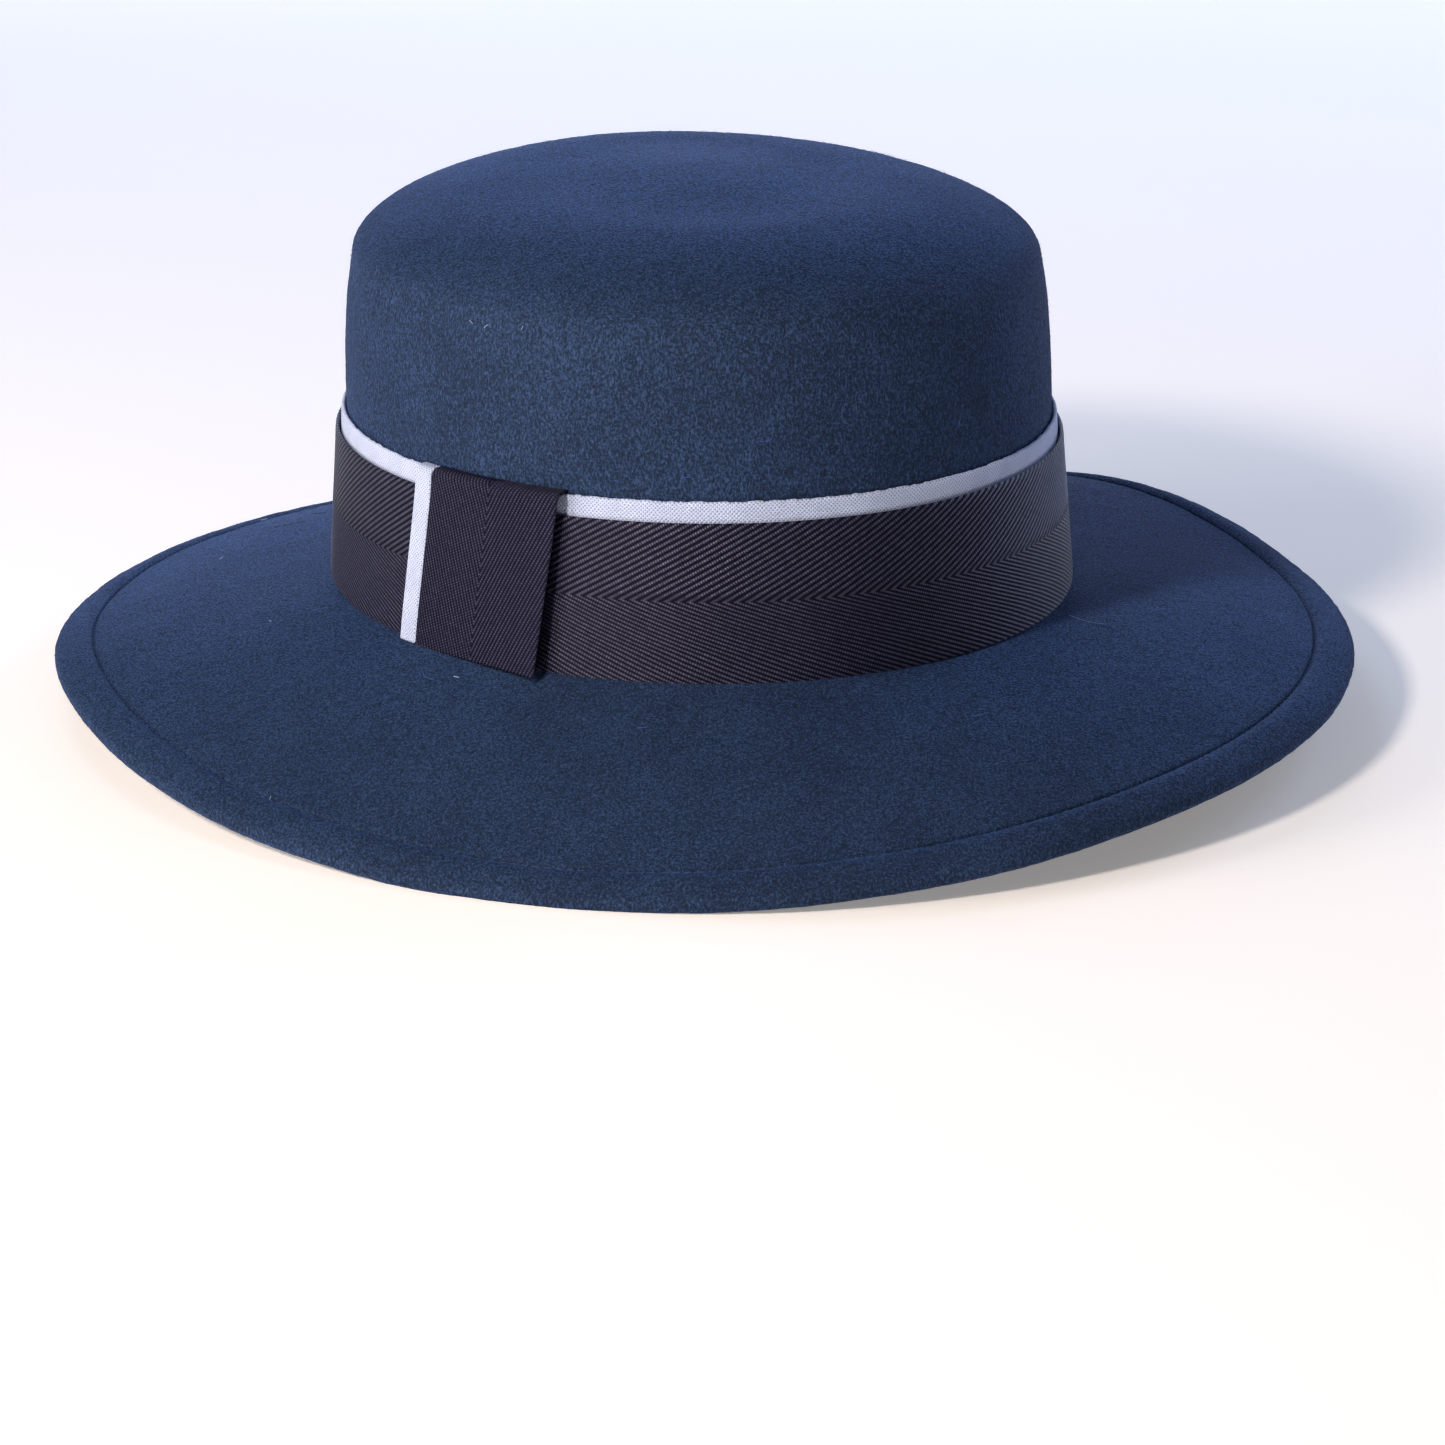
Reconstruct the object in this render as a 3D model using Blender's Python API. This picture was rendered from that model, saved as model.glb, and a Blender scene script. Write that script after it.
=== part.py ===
"""Gaucho hat in navy wool felt, with a herringbone ribbon band, a white tape and a ribbon keeper.

Every surface is set out in turns round the head oval (0 at the front, a quarter turn at +X), a distance out
from that oval, and a height above the break, where the crown meets the brim. The hat rests on z = 0.
"""

import math

import bpy

MM = 0.001

# The head opening, measured inside the felt at the break
HEAD_LENGTH = 198.8 * MM
HEAD_WIDTH = 166.8 * MM

# The felt and its turned-under rim
FELT = 2.3 * MM
BREAK_RADIUS = 1.0 * MM
BRIM_WIDTH = 71.2 * MM
BRIM_DROP = 33.4 * MM
BRIM_ARCH = 1.2 * MM
WELT_WIDTH = 12.0 * MM
STITCH_INSET = 10.0 * MM
STITCH_WIDTH = 2.4 * MM
STITCH_DEPTH = 0.6 * MM
REST_FLAT = 1.3 * MM

# The crown above the break
WALL_HEIGHT = 76.3 * MM
WALL_LEAN = 6.2 * MM
SHOULDER_HEIGHT = 16.4 * MM
SHOULDER_REACH = 43.2 * MM
SHOULDER_POWER = 1.8
DOME_RISE = 2.5 * MM

# The ribbon, the tape and the room that each keeps to its neighbour
RIBBON = 1.0 * MM
TAPE = 1.0 * MM
GAP = 0.3 * MM
BAND_WIDTH = 35.2 * MM
TAPE_WIDTH = 9.5 * MM
TAPE_SHOWS = 4.5 * MM
KEEPER_WIDTH = 39.0 * MM
KEEPER_TAPE_WIDTH = 6.0 * MM
KEEPER_FOLD = 1.6 * MM
KEEPER_LIFT = 1.4 * MM

# The two turns, in degrees, where the rim hangs lowest and touches the table
FRONT_REST_ANGLE = 336
BACK_REST_ANGLE = 158

# Where the keeper's left-hand edge crosses the band's foot, in degrees, and how far it leans by its top
KEEPER_EDGE_ANGLE = 295.8
KEEPER_LEAN_ANGLE = 2.6

# How the brim changes at equal steps round the hat from the front
BRIM = (
    # Turn in degrees, share of BRIM_DROP, share of BRIM_WIDTH
    (0, 0.870, 1.000),
    (30, 0.640, 1.000),
    (60, 0.545, 0.982),
    (90, 0.500, 0.982),
    (120, 0.385, 1.000),
    (150, 0.750, 1.000),
    (180, 0.690, 1.000),
    (210, 0.630, 1.000),
    (240, 0.580, 0.982),
    (270, 0.545, 0.982),
    (300, 0.810, 1.000),
    (330, 0.985, 1.000),
)

# How the crown's wall leans in as it rises
CROWN_WALL = (
    # Share of WALL_HEIGHT, share of WALL_LEAN
    (0.00, 0.00),
    (0.16, 0.27),
    (0.33, 0.49),
    (0.48, 0.60),
    (0.62, 0.62),
    (0.78, 0.68),
    (0.89, 0.80),
    (1.00, 1.00),
)

# How many steps each stretch of the section is drawn in
AROUND = 80
WALL_STEPS = 6
INNER_WALL_STEPS = 4
SHOULDER_STEPS = 7
INNER_SHOULDER_STEPS = 5
BREAK_STEPS = 2
BRIM_STEPS = 5
ROLL_STEPS = 5
BAND_STEPS = 5
KEEPER_STEPS = 10
FOLD_STEPS = 3
DOME_RINGS = (0.66, 0.33)
UNDER_BRIM_RINGS = (0.99, 0.66, 0.33)

# Edges that bend by more than this many degrees are drawn sharp
SHARP_ANGLE = 40

COLOURS = {
    # Linear red, green and blue, roughness
    "navy wool felt": (0.028, 0.045, 0.105, 0.95),
    "herringbone ribbon": (0.028, 0.024, 0.040, 0.60),
    "white cotton tape": (0.62, 0.66, 0.78, 0.80),
}


def smooth(rows, x):
    """The value at x on a smooth curve through rows of (place, value)."""
    places = [row[0] for row in rows]
    values = [row[1] for row in rows]
    i = min(max(sum(place <= x for place in places) - 1, 0), len(rows) - 2)

    def slope(k):
        low, high = max(k - 1, 0), min(k + 1, len(rows) - 1)
        return (values[high] - values[low]) / (places[high] - places[low])

    step = places[i + 1] - places[i]
    t = (x - places[i]) / step
    return (
        (2 * t**3 - 3 * t**2 + 1) * values[i]
        + (t**3 - 2 * t**2 + t) * step * slope(i)
        + (3 * t**2 - 2 * t**3) * values[i + 1]
        + (t**3 - t**2) * step * slope(i + 1)
    )


def brim_share(turn, column):
    """A column of the brim's table at this turn, smooth all the way round."""
    around = [(row[0] - 360, row[column]) for row in BRIM[-2:]]
    around += [(row[0], row[column]) for row in BRIM]
    around += [(row[0] + 360, row[column]) for row in BRIM[:3]]
    return smooth(around, math.degrees(turn) % 360)


def wall_out(height):
    """How far out the felt's outer face stands at a height on the crown's wall."""
    share = min(max(height / WALL_HEIGHT, 0), 1)
    return FELT - WALL_LEAN * smooth(CROWN_WALL, share)


def place(turn, out, height):
    """A point in the hat's own frame, before it is set down on its rim."""
    x = (HEAD_WIDTH / 2 + out) * math.sin(turn)
    y = -(HEAD_LENGTH / 2 + out) * math.cos(turn)
    return (x, y, height)


class BrimSection:
    """The brim's section at one turn: its slope, and the points of its upper face."""

    def __init__(self, turn):
        drop = BRIM_DROP * brim_share(turn, 1)
        width = BRIM_WIDTH * brim_share(turn, 2)
        self.break_centre = (FELT + BREAK_RADIUS, 0.0)
        self.rim_centre = (math.sqrt(width**2 - drop**2), -drop)
        across = self.rim_centre[0] - self.break_centre[0]
        span = math.hypot(across, drop)
        # The upper face touches the break's round from below and the rim's round from above
        self.slope = math.atan2(drop, across) - math.asin((BREAK_RADIUS + FELT) / span)
        self.length = math.sqrt(span**2 - (BREAK_RADIUS + FELT) ** 2)
        self.along = (math.cos(self.slope), -math.sin(self.slope))
        self.up = (math.sin(self.slope), math.cos(self.slope))

    def upper(self, share, depth=0.0):
        """The point at a share of the way from the break to the rim, sunk by a depth into the felt."""
        rise = BRIM_ARCH * math.sin(math.pi * share) ** 2 - BREAK_RADIUS - depth
        run = self.length * share
        return tuple(
            self.break_centre[k] + self.along[k] * run + self.up[k] * rise for k in (0, 1)
        )

    def height_at(self, out):
        """The height of the upper face close to the break, at a distance out."""
        run = out - self.upper(0.0)[0]
        return self.upper(0.0)[1] - run * math.tan(self.slope)

    def share_from_rim(self, distance):
        """The share of the way at a distance in from the rim's outermost line."""
        return 1 - (distance - FELT) / self.length

    def round_break(self, radius, steps):
        """Points round the break, from the crown's wall to the brim."""
        turn = math.pi / 2 - self.slope
        angles = [math.pi + turn * step / steps for step in range(steps + 1)]
        return [self.on_circle(self.break_centre, radius, angle) for angle in angles]

    def round_rim(self):
        """Points round the rim, from its upper face to its lower one."""
        angles = [math.pi / 2 - self.slope - math.pi * k / ROLL_STEPS for k in range(ROLL_STEPS + 1)]
        return [self.on_circle(self.rim_centre, FELT, angle) for angle in angles]

    @staticmethod
    def on_circle(centre, radius, angle):
        return (centre[0] + radius * math.cos(angle), centre[1] + radius * math.sin(angle))


def crown_section(inset, wall_steps, shoulder_steps):
    """The crown's section from the top's edge down to the break, set in from the outer face by inset."""
    points = []
    for step in range(shoulder_steps, 0, -1):
        angle = math.pi / 2 * step / shoulder_steps
        cosine, sine = max(math.cos(angle), 0.0), math.sin(angle)
        reach = SHOULDER_REACH * (1 - cosine ** (2 / SHOULDER_POWER))
        rise = (SHOULDER_HEIGHT - inset) * sine ** (2 / SHOULDER_POWER)
        points.append((wall_out(WALL_HEIGHT) - inset - reach, WALL_HEIGHT + rise))
    for step in range(wall_steps, 0, -1):
        height = WALL_HEIGHT * step / wall_steps
        points.append((wall_out(height) - inset, height))
    return points


def felt_section(turn):
    """The whole felt's section at one turn: down the outer face, round the rim and up the inner face."""
    brim = BrimSection(turn)
    groove = brim.share_from_rim(STITCH_INSET)
    half = STITCH_WIDTH / 2 / brim.length
    welt = brim.share_from_rim(WELT_WIDTH)
    points = crown_section(0.0, WALL_STEPS, SHOULDER_STEPS)
    points += brim.round_break(BREAK_RADIUS, BREAK_STEPS)
    points += [brim.upper((groove - half) * step / BRIM_STEPS) for step in range(1, BRIM_STEPS)]
    points += [brim.upper(groove - half), brim.upper(groove, STITCH_DEPTH), brim.upper(groove + half)]
    points += brim.round_rim()
    points += [brim.upper(groove, 2 * FELT), brim.upper(welt, 2 * FELT)]
    points += [brim.upper(welt * share, FELT) for share in UNDER_BRIM_RINGS]
    points += brim.round_break(BREAK_RADIUS + FELT, BREAK_STEPS)[::-1]
    points += crown_section(FELT, INNER_WALL_STEPS, INNER_SHOULDER_STEPS)[::-1]
    return points


def lowest_at(degrees):
    """The lowest point of the rim at one turn."""
    turn = math.radians(degrees)
    return min((place(turn, *point) for point in BrimSection(turn).round_rim()), key=lambda spot: spot[2])


class Seat:
    """How the hat lies on the table: leaning until both low stretches of its rim touch."""

    def __init__(self):
        front, back = lowest_at(FRONT_REST_ANGLE), lowest_at(BACK_REST_ANGLE)
        self.lean = math.atan2(back[2] - front[2], back[1] - front[1])
        self.shift = (0.0, 0.0, 0.0)
        turns = [2 * math.pi * step / AROUND for step in range(AROUND)]
        rim = [self.leant(place(turn, *point)) for turn in turns for point in BrimSection(turn).round_rim()]
        low = [min(spot[k] for spot in rim) for k in range(3)]
        high = [max(spot[k] for spot in rim) for k in range(3)]
        self.shift = (-(low[0] + high[0]) / 2, -(low[1] + high[1]) / 2, -low[2] - REST_FLAT)

    def leant(self, spot):
        """A point turned about X by the lean."""
        cosine, sine = math.cos(self.lean), math.sin(self.lean)
        return (spot[0], spot[1] * cosine + spot[2] * sine, spot[2] * cosine - spot[1] * sine)

    def down(self, spot):
        """A point of the hat as it lies, where its lowest felt is pressed flat on z = 0."""
        moved = [value + shift for value, shift in zip(self.leant(spot), self.shift)]
        return (moved[0], moved[1], max(moved[2], 0.0))


def add_piece(name, vertices, faces, finish):
    """One named object with its own material, smooth but for its sharp edges."""
    mesh = bpy.data.meshes.new(name)
    mesh.from_pydata(vertices, [], faces)
    mesh.shade_smooth()
    mesh.set_sharp_from_angle(angle=math.radians(SHARP_ANGLE))
    material = bpy.data.materials.new(name.replace("_", " "))
    material.use_nodes = True
    red, green, blue, roughness = COLOURS[finish]
    shader = material.node_tree.nodes["Principled BSDF"]
    shader.inputs["Base Color"].default_value = (red, green, blue, 1)
    shader.inputs["Roughness"].default_value = roughness
    mesh.materials.append(material)
    piece = bpy.data.objects.new(name, mesh)
    bpy.context.collection.objects.link(piece)
    return piece


def ring_faces(sections, rows):
    """Four-sided faces between each section and the next, all the way round a closed section."""
    faces = []
    for section in range(sections):
        here, there = section * rows, (section + 1) % sections * rows
        for row in range(rows):
            below = (row + 1) % rows
            faces.append((here + row, here + below, there + below, there + row))
    return faces


def turned(name, section_at, seat, finish):
    """A closed ring whose section is worked out anew at each turn."""
    vertices = []
    for step in range(AROUND):
        turn = 2 * math.pi * step / AROUND
        section = section_at(turn)
        vertices += [seat.down(place(turn, *point)) for point in section]
    return add_piece(name, vertices, ring_faces(AROUND, len(section)), finish)


def top_rings(point):
    """The crown's top, from the end of a section to the middle, as (share of the oval, height)."""
    return [(share, point[1] + DOME_RISE * (1 - share**2) ** 2) for share in DOME_RINGS]


def felt_body(seat):
    """Crown and brim as one wall of felt, open below."""
    vertices = []
    faces = []
    for step in range(AROUND):
        turn = 2 * math.pi * step / AROUND
        section = felt_section(turn)
        oval = [place(turn, *section[end]) for end in (0, -1)]
        spots = [place(turn, *point) for point in section]
        before = [(oval[0][0] * s, oval[0][1] * s, h) for s, h in top_rings(section[0])[::-1]]
        after = [(oval[1][0] * s, oval[1][1] * s, h) for s, h in top_rings(section[-1])]
        vertices += [seat.down(spot) for spot in before + spots + after]
    rows = len(vertices) // AROUND
    for around in range(AROUND):
        here, there = around * rows, (around + 1) % AROUND * rows
        for row in range(rows - 1):
            faces.append((here + row, here + row + 1, there + row + 1, there + row))
    for end, height in ((0, section[0][1]), (rows - 1, section[-1][1])):
        vertices.append(seat.down((0, 0, height + DOME_RISE)))
        for around in range(AROUND):
            pair = (around * rows + end, (around + 1) % AROUND * rows + end)
            faces.append((*(pair if end == 0 else pair[::-1]), len(vertices) - 1))
    return add_piece("felt_body", vertices, faces, "navy wool felt")


def band_room(height):
    """The room between the felt and the band: a gap at the foot, and the tape as well near the top."""
    share = min(max(height / (BAND_WIDTH + TAPE_SHOWS - TAPE_WIDTH - RIBBON), 0), 1)
    return GAP + (TAPE + GAP) * share * (2 - share)


def band_outside(height):
    """How far out the band's outer face stands."""
    return wall_out(height) + band_room(height) + RIBBON


def foot(brim, out):
    """The height at which a ribbon standing at this distance out clears the brim."""
    return min(brim.height_at(out) + GAP / math.cos(brim.slope), 0.0)


def band_section(turn):
    """The band's section: up the outer face from the brim, then down the inner face."""
    brim = BrimSection(turn)
    heights = [BAND_WIDTH * step / BAND_STEPS for step in range(1, BAND_STEPS + 1)]
    outer = [(band_outside(0.0), foot(brim, band_outside(0.0)))]
    outer += [(band_outside(height), height) for height in heights]
    inner = [(band_outside(height) - RIBBON, height) for height in [0.0, *heights]]
    return inner + outer[::-1]


def tape_section(turn):
    """The tape's section, lying on the felt with its lower part behind the band."""
    top = BAND_WIDTH + TAPE_SHOWS
    heights = (top - TAPE_WIDTH, top - TAPE_SHOWS, top)
    inner = [(wall_out(height) + GAP, height) for height in heights]
    return inner + [(out + TAPE, height) for out, height in inner[::-1]]


def keeper_path(turn, lift):
    """Matching lines down the keeper's outer and inner face at one turn, lifted off the band by lift."""
    brim = BrimSection(turn)
    lip = BAND_WIDTH + TAPE_SHOWS + GAP
    front = band_outside(BAND_WIDTH) + GAP + lift
    fold = (front + RIBBON - KEEPER_FOLD, lip + RIBBON - KEEPER_FOLD)
    outer = [(wall_out(lip) + GAP, lip + RIBBON)]
    inner = [(wall_out(lip) + GAP, lip)]
    for step in range(FOLD_STEPS + 1):
        angle = math.pi / 2 * (1 - step / FOLD_STEPS)
        outer.append(BrimSection.on_circle(fold, KEEPER_FOLD, angle))
        inner.append(BrimSection.on_circle(fold, KEEPER_FOLD - RIBBON, angle))
    for step in range(BAND_STEPS - 1, 0, -1):
        height = BAND_WIDTH * step / BAND_STEPS
        out = band_outside(height) + GAP + lift
        outer.append((out + RIBBON, height))
        inner.append((out, height))
    out = band_outside(0.0) + GAP + lift
    outer.append((out + RIBBON, foot(brim, out + RIBBON)))
    inner.append((out, foot(brim, out)))
    return outer, inner


def keeper_strip(name, start, width, lifts, seat, finish):
    """A length of ribbon over the band, from a distance start right of the keeper's edge."""
    around = (HEAD_LENGTH + HEAD_WIDTH) / 4 + band_outside(BAND_WIDTH / 2)
    vertices = []
    for step in range(KEEPER_STEPS + 1):
        share = step / KEEPER_STEPS
        lift = lifts[0] + (lifts[1] - lifts[0]) * share**2
        across = (start + width * share) / around
        outer, inner = keeper_path(math.radians(KEEPER_EDGE_ANGLE) + across, lift)
        for out, height in outer + inner[::-1]:
            lean = math.radians(KEEPER_LEAN_ANGLE) * height / BAND_WIDTH
            turn = math.radians(KEEPER_EDGE_ANGLE) + across + lean
            vertices.append(seat.down(place(turn, out, height)))
    rows = len(vertices) // (KEEPER_STEPS + 1)
    faces = [face for face in ring_faces(KEEPER_STEPS + 1, rows) if max(face) - min(face) < 2 * rows]
    faces.append(tuple(range(rows))[::-1])
    faces.append(tuple(range(KEEPER_STEPS * rows, (KEEPER_STEPS + 1) * rows)))
    return add_piece(name, vertices, faces, finish)


def main():
    for old in list(bpy.data.objects):
        bpy.data.objects.remove(old)
    seat = Seat()
    felt_body(seat)
    turned("white_tape", tape_section, seat, "white cotton tape")
    turned("ribbon_band", band_section, seat, "herringbone ribbon")
    keeper_strip("keeper", 0.0, KEEPER_WIDTH, (0.0, KEEPER_LIFT), seat, "herringbone ribbon")
    start = -GAP - KEEPER_TAPE_WIDTH
    keeper_strip("keeper_tape", start, KEEPER_TAPE_WIDTH, (0.0, 0.0), seat, "white cotton tape")


main()
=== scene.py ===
import math

import bpy
import numpy as np
from bpy.props import FloatProperty, FloatVectorProperty, IntProperty, PointerProperty
from mathutils import Matrix, Vector


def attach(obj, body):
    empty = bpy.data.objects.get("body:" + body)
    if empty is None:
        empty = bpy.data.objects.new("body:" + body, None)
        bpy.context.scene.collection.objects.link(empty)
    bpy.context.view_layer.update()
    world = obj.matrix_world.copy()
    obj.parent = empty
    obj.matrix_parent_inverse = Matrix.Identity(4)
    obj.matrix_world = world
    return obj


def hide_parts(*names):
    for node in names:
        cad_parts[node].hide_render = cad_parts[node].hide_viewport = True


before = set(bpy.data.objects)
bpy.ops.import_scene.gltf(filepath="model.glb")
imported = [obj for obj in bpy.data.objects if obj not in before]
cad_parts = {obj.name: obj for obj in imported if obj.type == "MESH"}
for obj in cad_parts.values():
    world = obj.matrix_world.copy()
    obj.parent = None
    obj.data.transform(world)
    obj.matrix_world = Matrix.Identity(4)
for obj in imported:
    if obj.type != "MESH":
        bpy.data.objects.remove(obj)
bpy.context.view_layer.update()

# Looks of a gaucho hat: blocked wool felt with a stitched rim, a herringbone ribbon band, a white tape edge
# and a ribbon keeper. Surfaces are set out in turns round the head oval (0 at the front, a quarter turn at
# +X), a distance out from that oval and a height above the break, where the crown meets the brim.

bl_info = {
    "name": "Gaucho Hat",
    "version": (1, 0, 0),
    "blender": (4, 5, 0),
    "location": "3D View > Sidebar > Hat",
    "description": "A felt hat with a herringbone ribbon band, made piece by piece",
    "category": "Object",
}

MM = 0.001
CM2_PER_M2 = 1e4
FULL_TURN = 2 * math.pi

# The head opening, measured inside the felt at the break
HEAD_LENGTH = 198.8 * MM
HEAD_WIDTH = 166.8 * MM

# The felt and its turned-under rim, which rests on the table at two turns, in degrees
FELT = 2.3 * MM
BREAK_RADIUS = 1.0 * MM
BRIM_WIDTH = 71.2 * MM
BRIM_DROP = 33.4 * MM
BRIM_ARCH = 1.2 * MM
WELT_WIDTH = 12.0 * MM
STITCH_INSET = 10.0 * MM
REST_FLAT = 1.3 * MM
FRONT_REST = 336
BACK_REST = 158

# The crown above the break
WALL_HEIGHT = 76.3 * MM
WALL_LEAN = 6.2 * MM
SHOULDER_HEIGHT = 16.4 * MM
SHOULDER_REACH = 43.2 * MM
SHOULDER_POWER = 1.8
DOME_RISE = 2.5 * MM

# The ribbons and the room that each keeps to its neighbour, and the turn of the keeper's left-hand edge and
# how far it leans over the band's width, both in degrees
RIBBON = 1.0 * MM
TAPE = 1.0 * MM
GAP = 0.3 * MM
BAND_WIDTH = 35.2 * MM
TAPE_WIDTH = 9.5 * MM
TAPE_SHOWS = 4.5 * MM
BAND_TOP = BAND_WIDTH + TAPE_SHOWS
KEEPER_WIDTH = 39.0 * MM
KEEPER_TAPE_WIDTH = 6.0 * MM
KEEPER_EDGE = 295.8
KEEPER_LEAN = 2.6

BRIM = np.array((
    # Turn in degrees, share of BRIM_DROP, share of BRIM_WIDTH
    (0, 0.870, 1.000),
    (30, 0.640, 1.000),
    (60, 0.545, 0.982),
    (90, 0.500, 0.982),
    (120, 0.385, 1.000),
    (150, 0.750, 1.000),
    (180, 0.690, 1.000),
    (210, 0.630, 1.000),
    (240, 0.580, 0.982),
    (270, 0.545, 0.982),
    (300, 0.810, 1.000),
    (330, 0.985, 1.000),
))

CROWN_WALL = np.array((
    # Share of WALL_HEIGHT, share of WALL_LEAN
    (0.00, 0.00),
    (0.16, 0.27),
    (0.33, 0.49),
    (0.48, 0.60),
    (0.62, 0.62),
    (0.78, 0.68),
    (0.89, 0.80),
    (1.00, 1.00),
))


def linear(code):
    """An sRGB hex colour as linear red, green and blue."""
    shares = [int(code[k : k + 2], 16) / 255 for k in (1, 3, 5)]
    return tuple(s / 12.92 if s <= 0.04045 else ((s + 0.055) / 1.055) ** 2.4 for s in shares)


def length_property(name, description, value):
    """A length in metres that a user may change."""
    return FloatProperty(name=name, description=description, default=value, min=0, unit="LENGTH", precision=5)


def angle_property(name, description, degrees):
    """An angle that a user may change."""
    return FloatProperty(name=name, description=description, default=math.radians(degrees), subtype="ANGLE")


def power_property(name, description, watts):
    """The power of a light, which a user may change."""
    return FloatProperty(name=name, description=description, default=watts, min=0, unit="POWER")


def colour_property(name, description, code):
    """A colour that a user may change."""
    return FloatVectorProperty(
        name=name, description=description, default=linear(code), min=0, max=1, size=3, subtype="COLOR"
    )


class FeltSettings(bpy.types.PropertyGroup):
    """The blocked wool felt and its nap."""

    # Painted shade: the felt is drawn in this colour in the hollows of its tufts and fibres, where their bump
    # is low
    painted_shade: colour_property("Felt shade", "Colour in the hollows between the wool fibres", "#1a2437")
    colour: colour_property("Felt colour", "Colour of most wool fibres", "#22324c")
    # Partly a painted glint on the tops of the felt's tufts and fibres, partly the colour of the paler loose
    # fibres
    glint_and_pale_fibre: colour_property("Felt glint", "Colour of the lightest wool fibres", "#34476a")
    unevenness: length_property(
        "Unevenness", "How far the blocked felt strays from a true surface", 0.35 * MM
    )
    fibre_length: length_property("Fibre length", "Length of the loose fibres of the nap", 1.5 * MM)
    fibre_width: length_property("Fibre width", "Thickness of the loose fibres of the nap", 0.07 * MM)
    fibres_per_cm2: FloatProperty(
        name="Fibres", description="Loose fibres on each square centimetre", default=14.0, min=0
    )
    puff: length_property("Rim puff", "How far the turned-under rim swells outside its stitches", 1.0 * MM)
    groove: length_property("Groove depth", "How deep the stitches pull the felt in", 0.65 * MM)
    seed: IntProperty(name="Seed", description="Which scatter of fibres is drawn", default=7)


class StitchSettings(bpy.types.PropertyGroup):
    """The machine stitches along the rim."""

    colour: colour_property("Thread colour", "Colour of the sewing thread", "#3c4d80")
    pitch: length_property("Pitch", "Distance from one stitch to the next", 2.6 * MM)
    length: length_property("Stitch length", "Length of thread that shows in each stitch", 1.7 * MM)
    thread: length_property("Thread", "Thickness of the thread", 0.32 * MM)


class RibbonSettings(bpy.types.PropertyGroup):
    """The herringbone ribbon of the band and the keeper."""

    # Painted shade in the grooves between the wales and between the beads of thread
    painted_shade: colour_property("Ribbon shade", "Colour between the wales", "#0f0f1b")
    colour: colour_property("Ribbon colour", "Colour of the wales", "#242545")
    wale_pitch: length_property("Wale pitch", "Distance from wale to wale along the ribbon", 2.6 * MM)
    upper_rise: angle_property("Upper rise", "Slant of the wales in the band's upper half", 29)
    lower_rise: angle_property("Lower rise", "Slant of the wales in the band's lower half", 20)
    keeper_pitch: length_property("Keeper pitch", "Distance from wale to wale along the keeper", 2.2 * MM)
    keeper_rise: angle_property("Keeper rise", "Slant of the wales on the keeper", 25)
    relief: length_property("Relief", "How far the wales stand up", 0.16 * MM)
    thread_pitch: length_property("Thread pitch", "Distance from thread to thread along a wale", 0.62 * MM)


class TapeSettings(bpy.types.PropertyGroup):
    """The white cotton tape."""

    # Painted shade in the hollows between the tape's threads
    painted_shade: colour_property("Tape shade", "Colour between the threads", "#77809c")
    colour: colour_property("Tape colour", "Colour of the threads", "#c1cbe7")
    thread_pitch: length_property("Thread pitch", "Distance from thread to thread", 0.95 * MM)
    fray: length_property("Fray", "How far the upper woven edge wanders", 0.16 * MM)


class StageSettings(bpy.types.PropertyGroup):
    """The floor, the backdrop, the lights and the camera."""

    floor: colour_property("Floor colour", "Colour of the paper floor", "#fffaf5")
    key_power: power_property("Key power", "Power of the softbox at the front left", 16)
    side_power: power_property("Side power", "Power of the low softbox at the left", 15)
    rim_power: power_property("Rim power", "Power of the bluish softbox at the right rear", 8)
    back_power: power_property("Back power", "Power of the low softbox behind the hat", 6)
    top_power: power_property("Top power", "Power of the high softbox at the rear", 3)
    sky: FloatProperty(name="Sky", description="Strength of the even light from overhead", default=0.1)
    lens: FloatProperty(name="Lens", description="Focal length in millimetres", default=146.4)
    distance: length_property("Distance", "Distance from the camera to the point it looks at", 1.4)


SETTINGS = {
    "hat_felt": FeltSettings,
    "hat_stitch": StitchSettings,
    "hat_ribbon": RibbonSettings,
    "hat_tape": TapeSettings,
    "hat_stage": StageSettings,
}


def smooth(rows, column, x):
    """A column of a table at x, on a smooth curve through its rows."""
    places, values = rows[:, 0], rows[:, column]
    here = np.arange(len(places))
    low, high = np.maximum(here - 1, 0), np.minimum(here + 1, len(places) - 1)
    slopes = (values[high] - values[low]) / (places[high] - places[low])
    i = np.clip(np.searchsorted(places, x, side="right") - 1, 0, len(places) - 2)
    step = places[i + 1] - places[i]
    t = (x - places[i]) / step
    return (
        (2 * t**3 - 3 * t**2 + 1) * values[i]
        + (t**3 - 2 * t**2 + t) * step * slopes[i]
        + (3 * t**2 - 2 * t**3) * values[i + 1]
        + (t**3 - t**2) * step * slopes[i + 1]
    )


def brim_share(turn, column):
    """A column of the brim's table, smooth all the way round."""
    before, after = BRIM[-2:].copy(), BRIM[:3].copy()
    before[:, 0] -= 360
    after[:, 0] += 360
    return smooth(np.vstack((before, BRIM, after)), column, np.degrees(turn) % 360)


def wall_out(height):
    """How far out the felt's outer face stands at a height on the crown's wall."""
    return FELT - WALL_LEAN * smooth(CROWN_WALL, 1, np.clip(height / WALL_HEIGHT, 0, 1))


def place(turn, out, height):
    """Points in the hat's own frame, before it is set down on its rim."""
    x = (HEAD_WIDTH / 2 + out) * np.sin(turn)
    y = -(HEAD_LENGTH / 2 + out) * np.cos(turn)
    return np.stack(np.broadcast_arrays(x, y, height), axis=-1)


def ease(value, low, high):
    """A soft step from 0 at low to 1 at high."""
    t = np.clip((value - low) / (high - low), 0, 1)
    return t * t * (3 - 2 * t)


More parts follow.
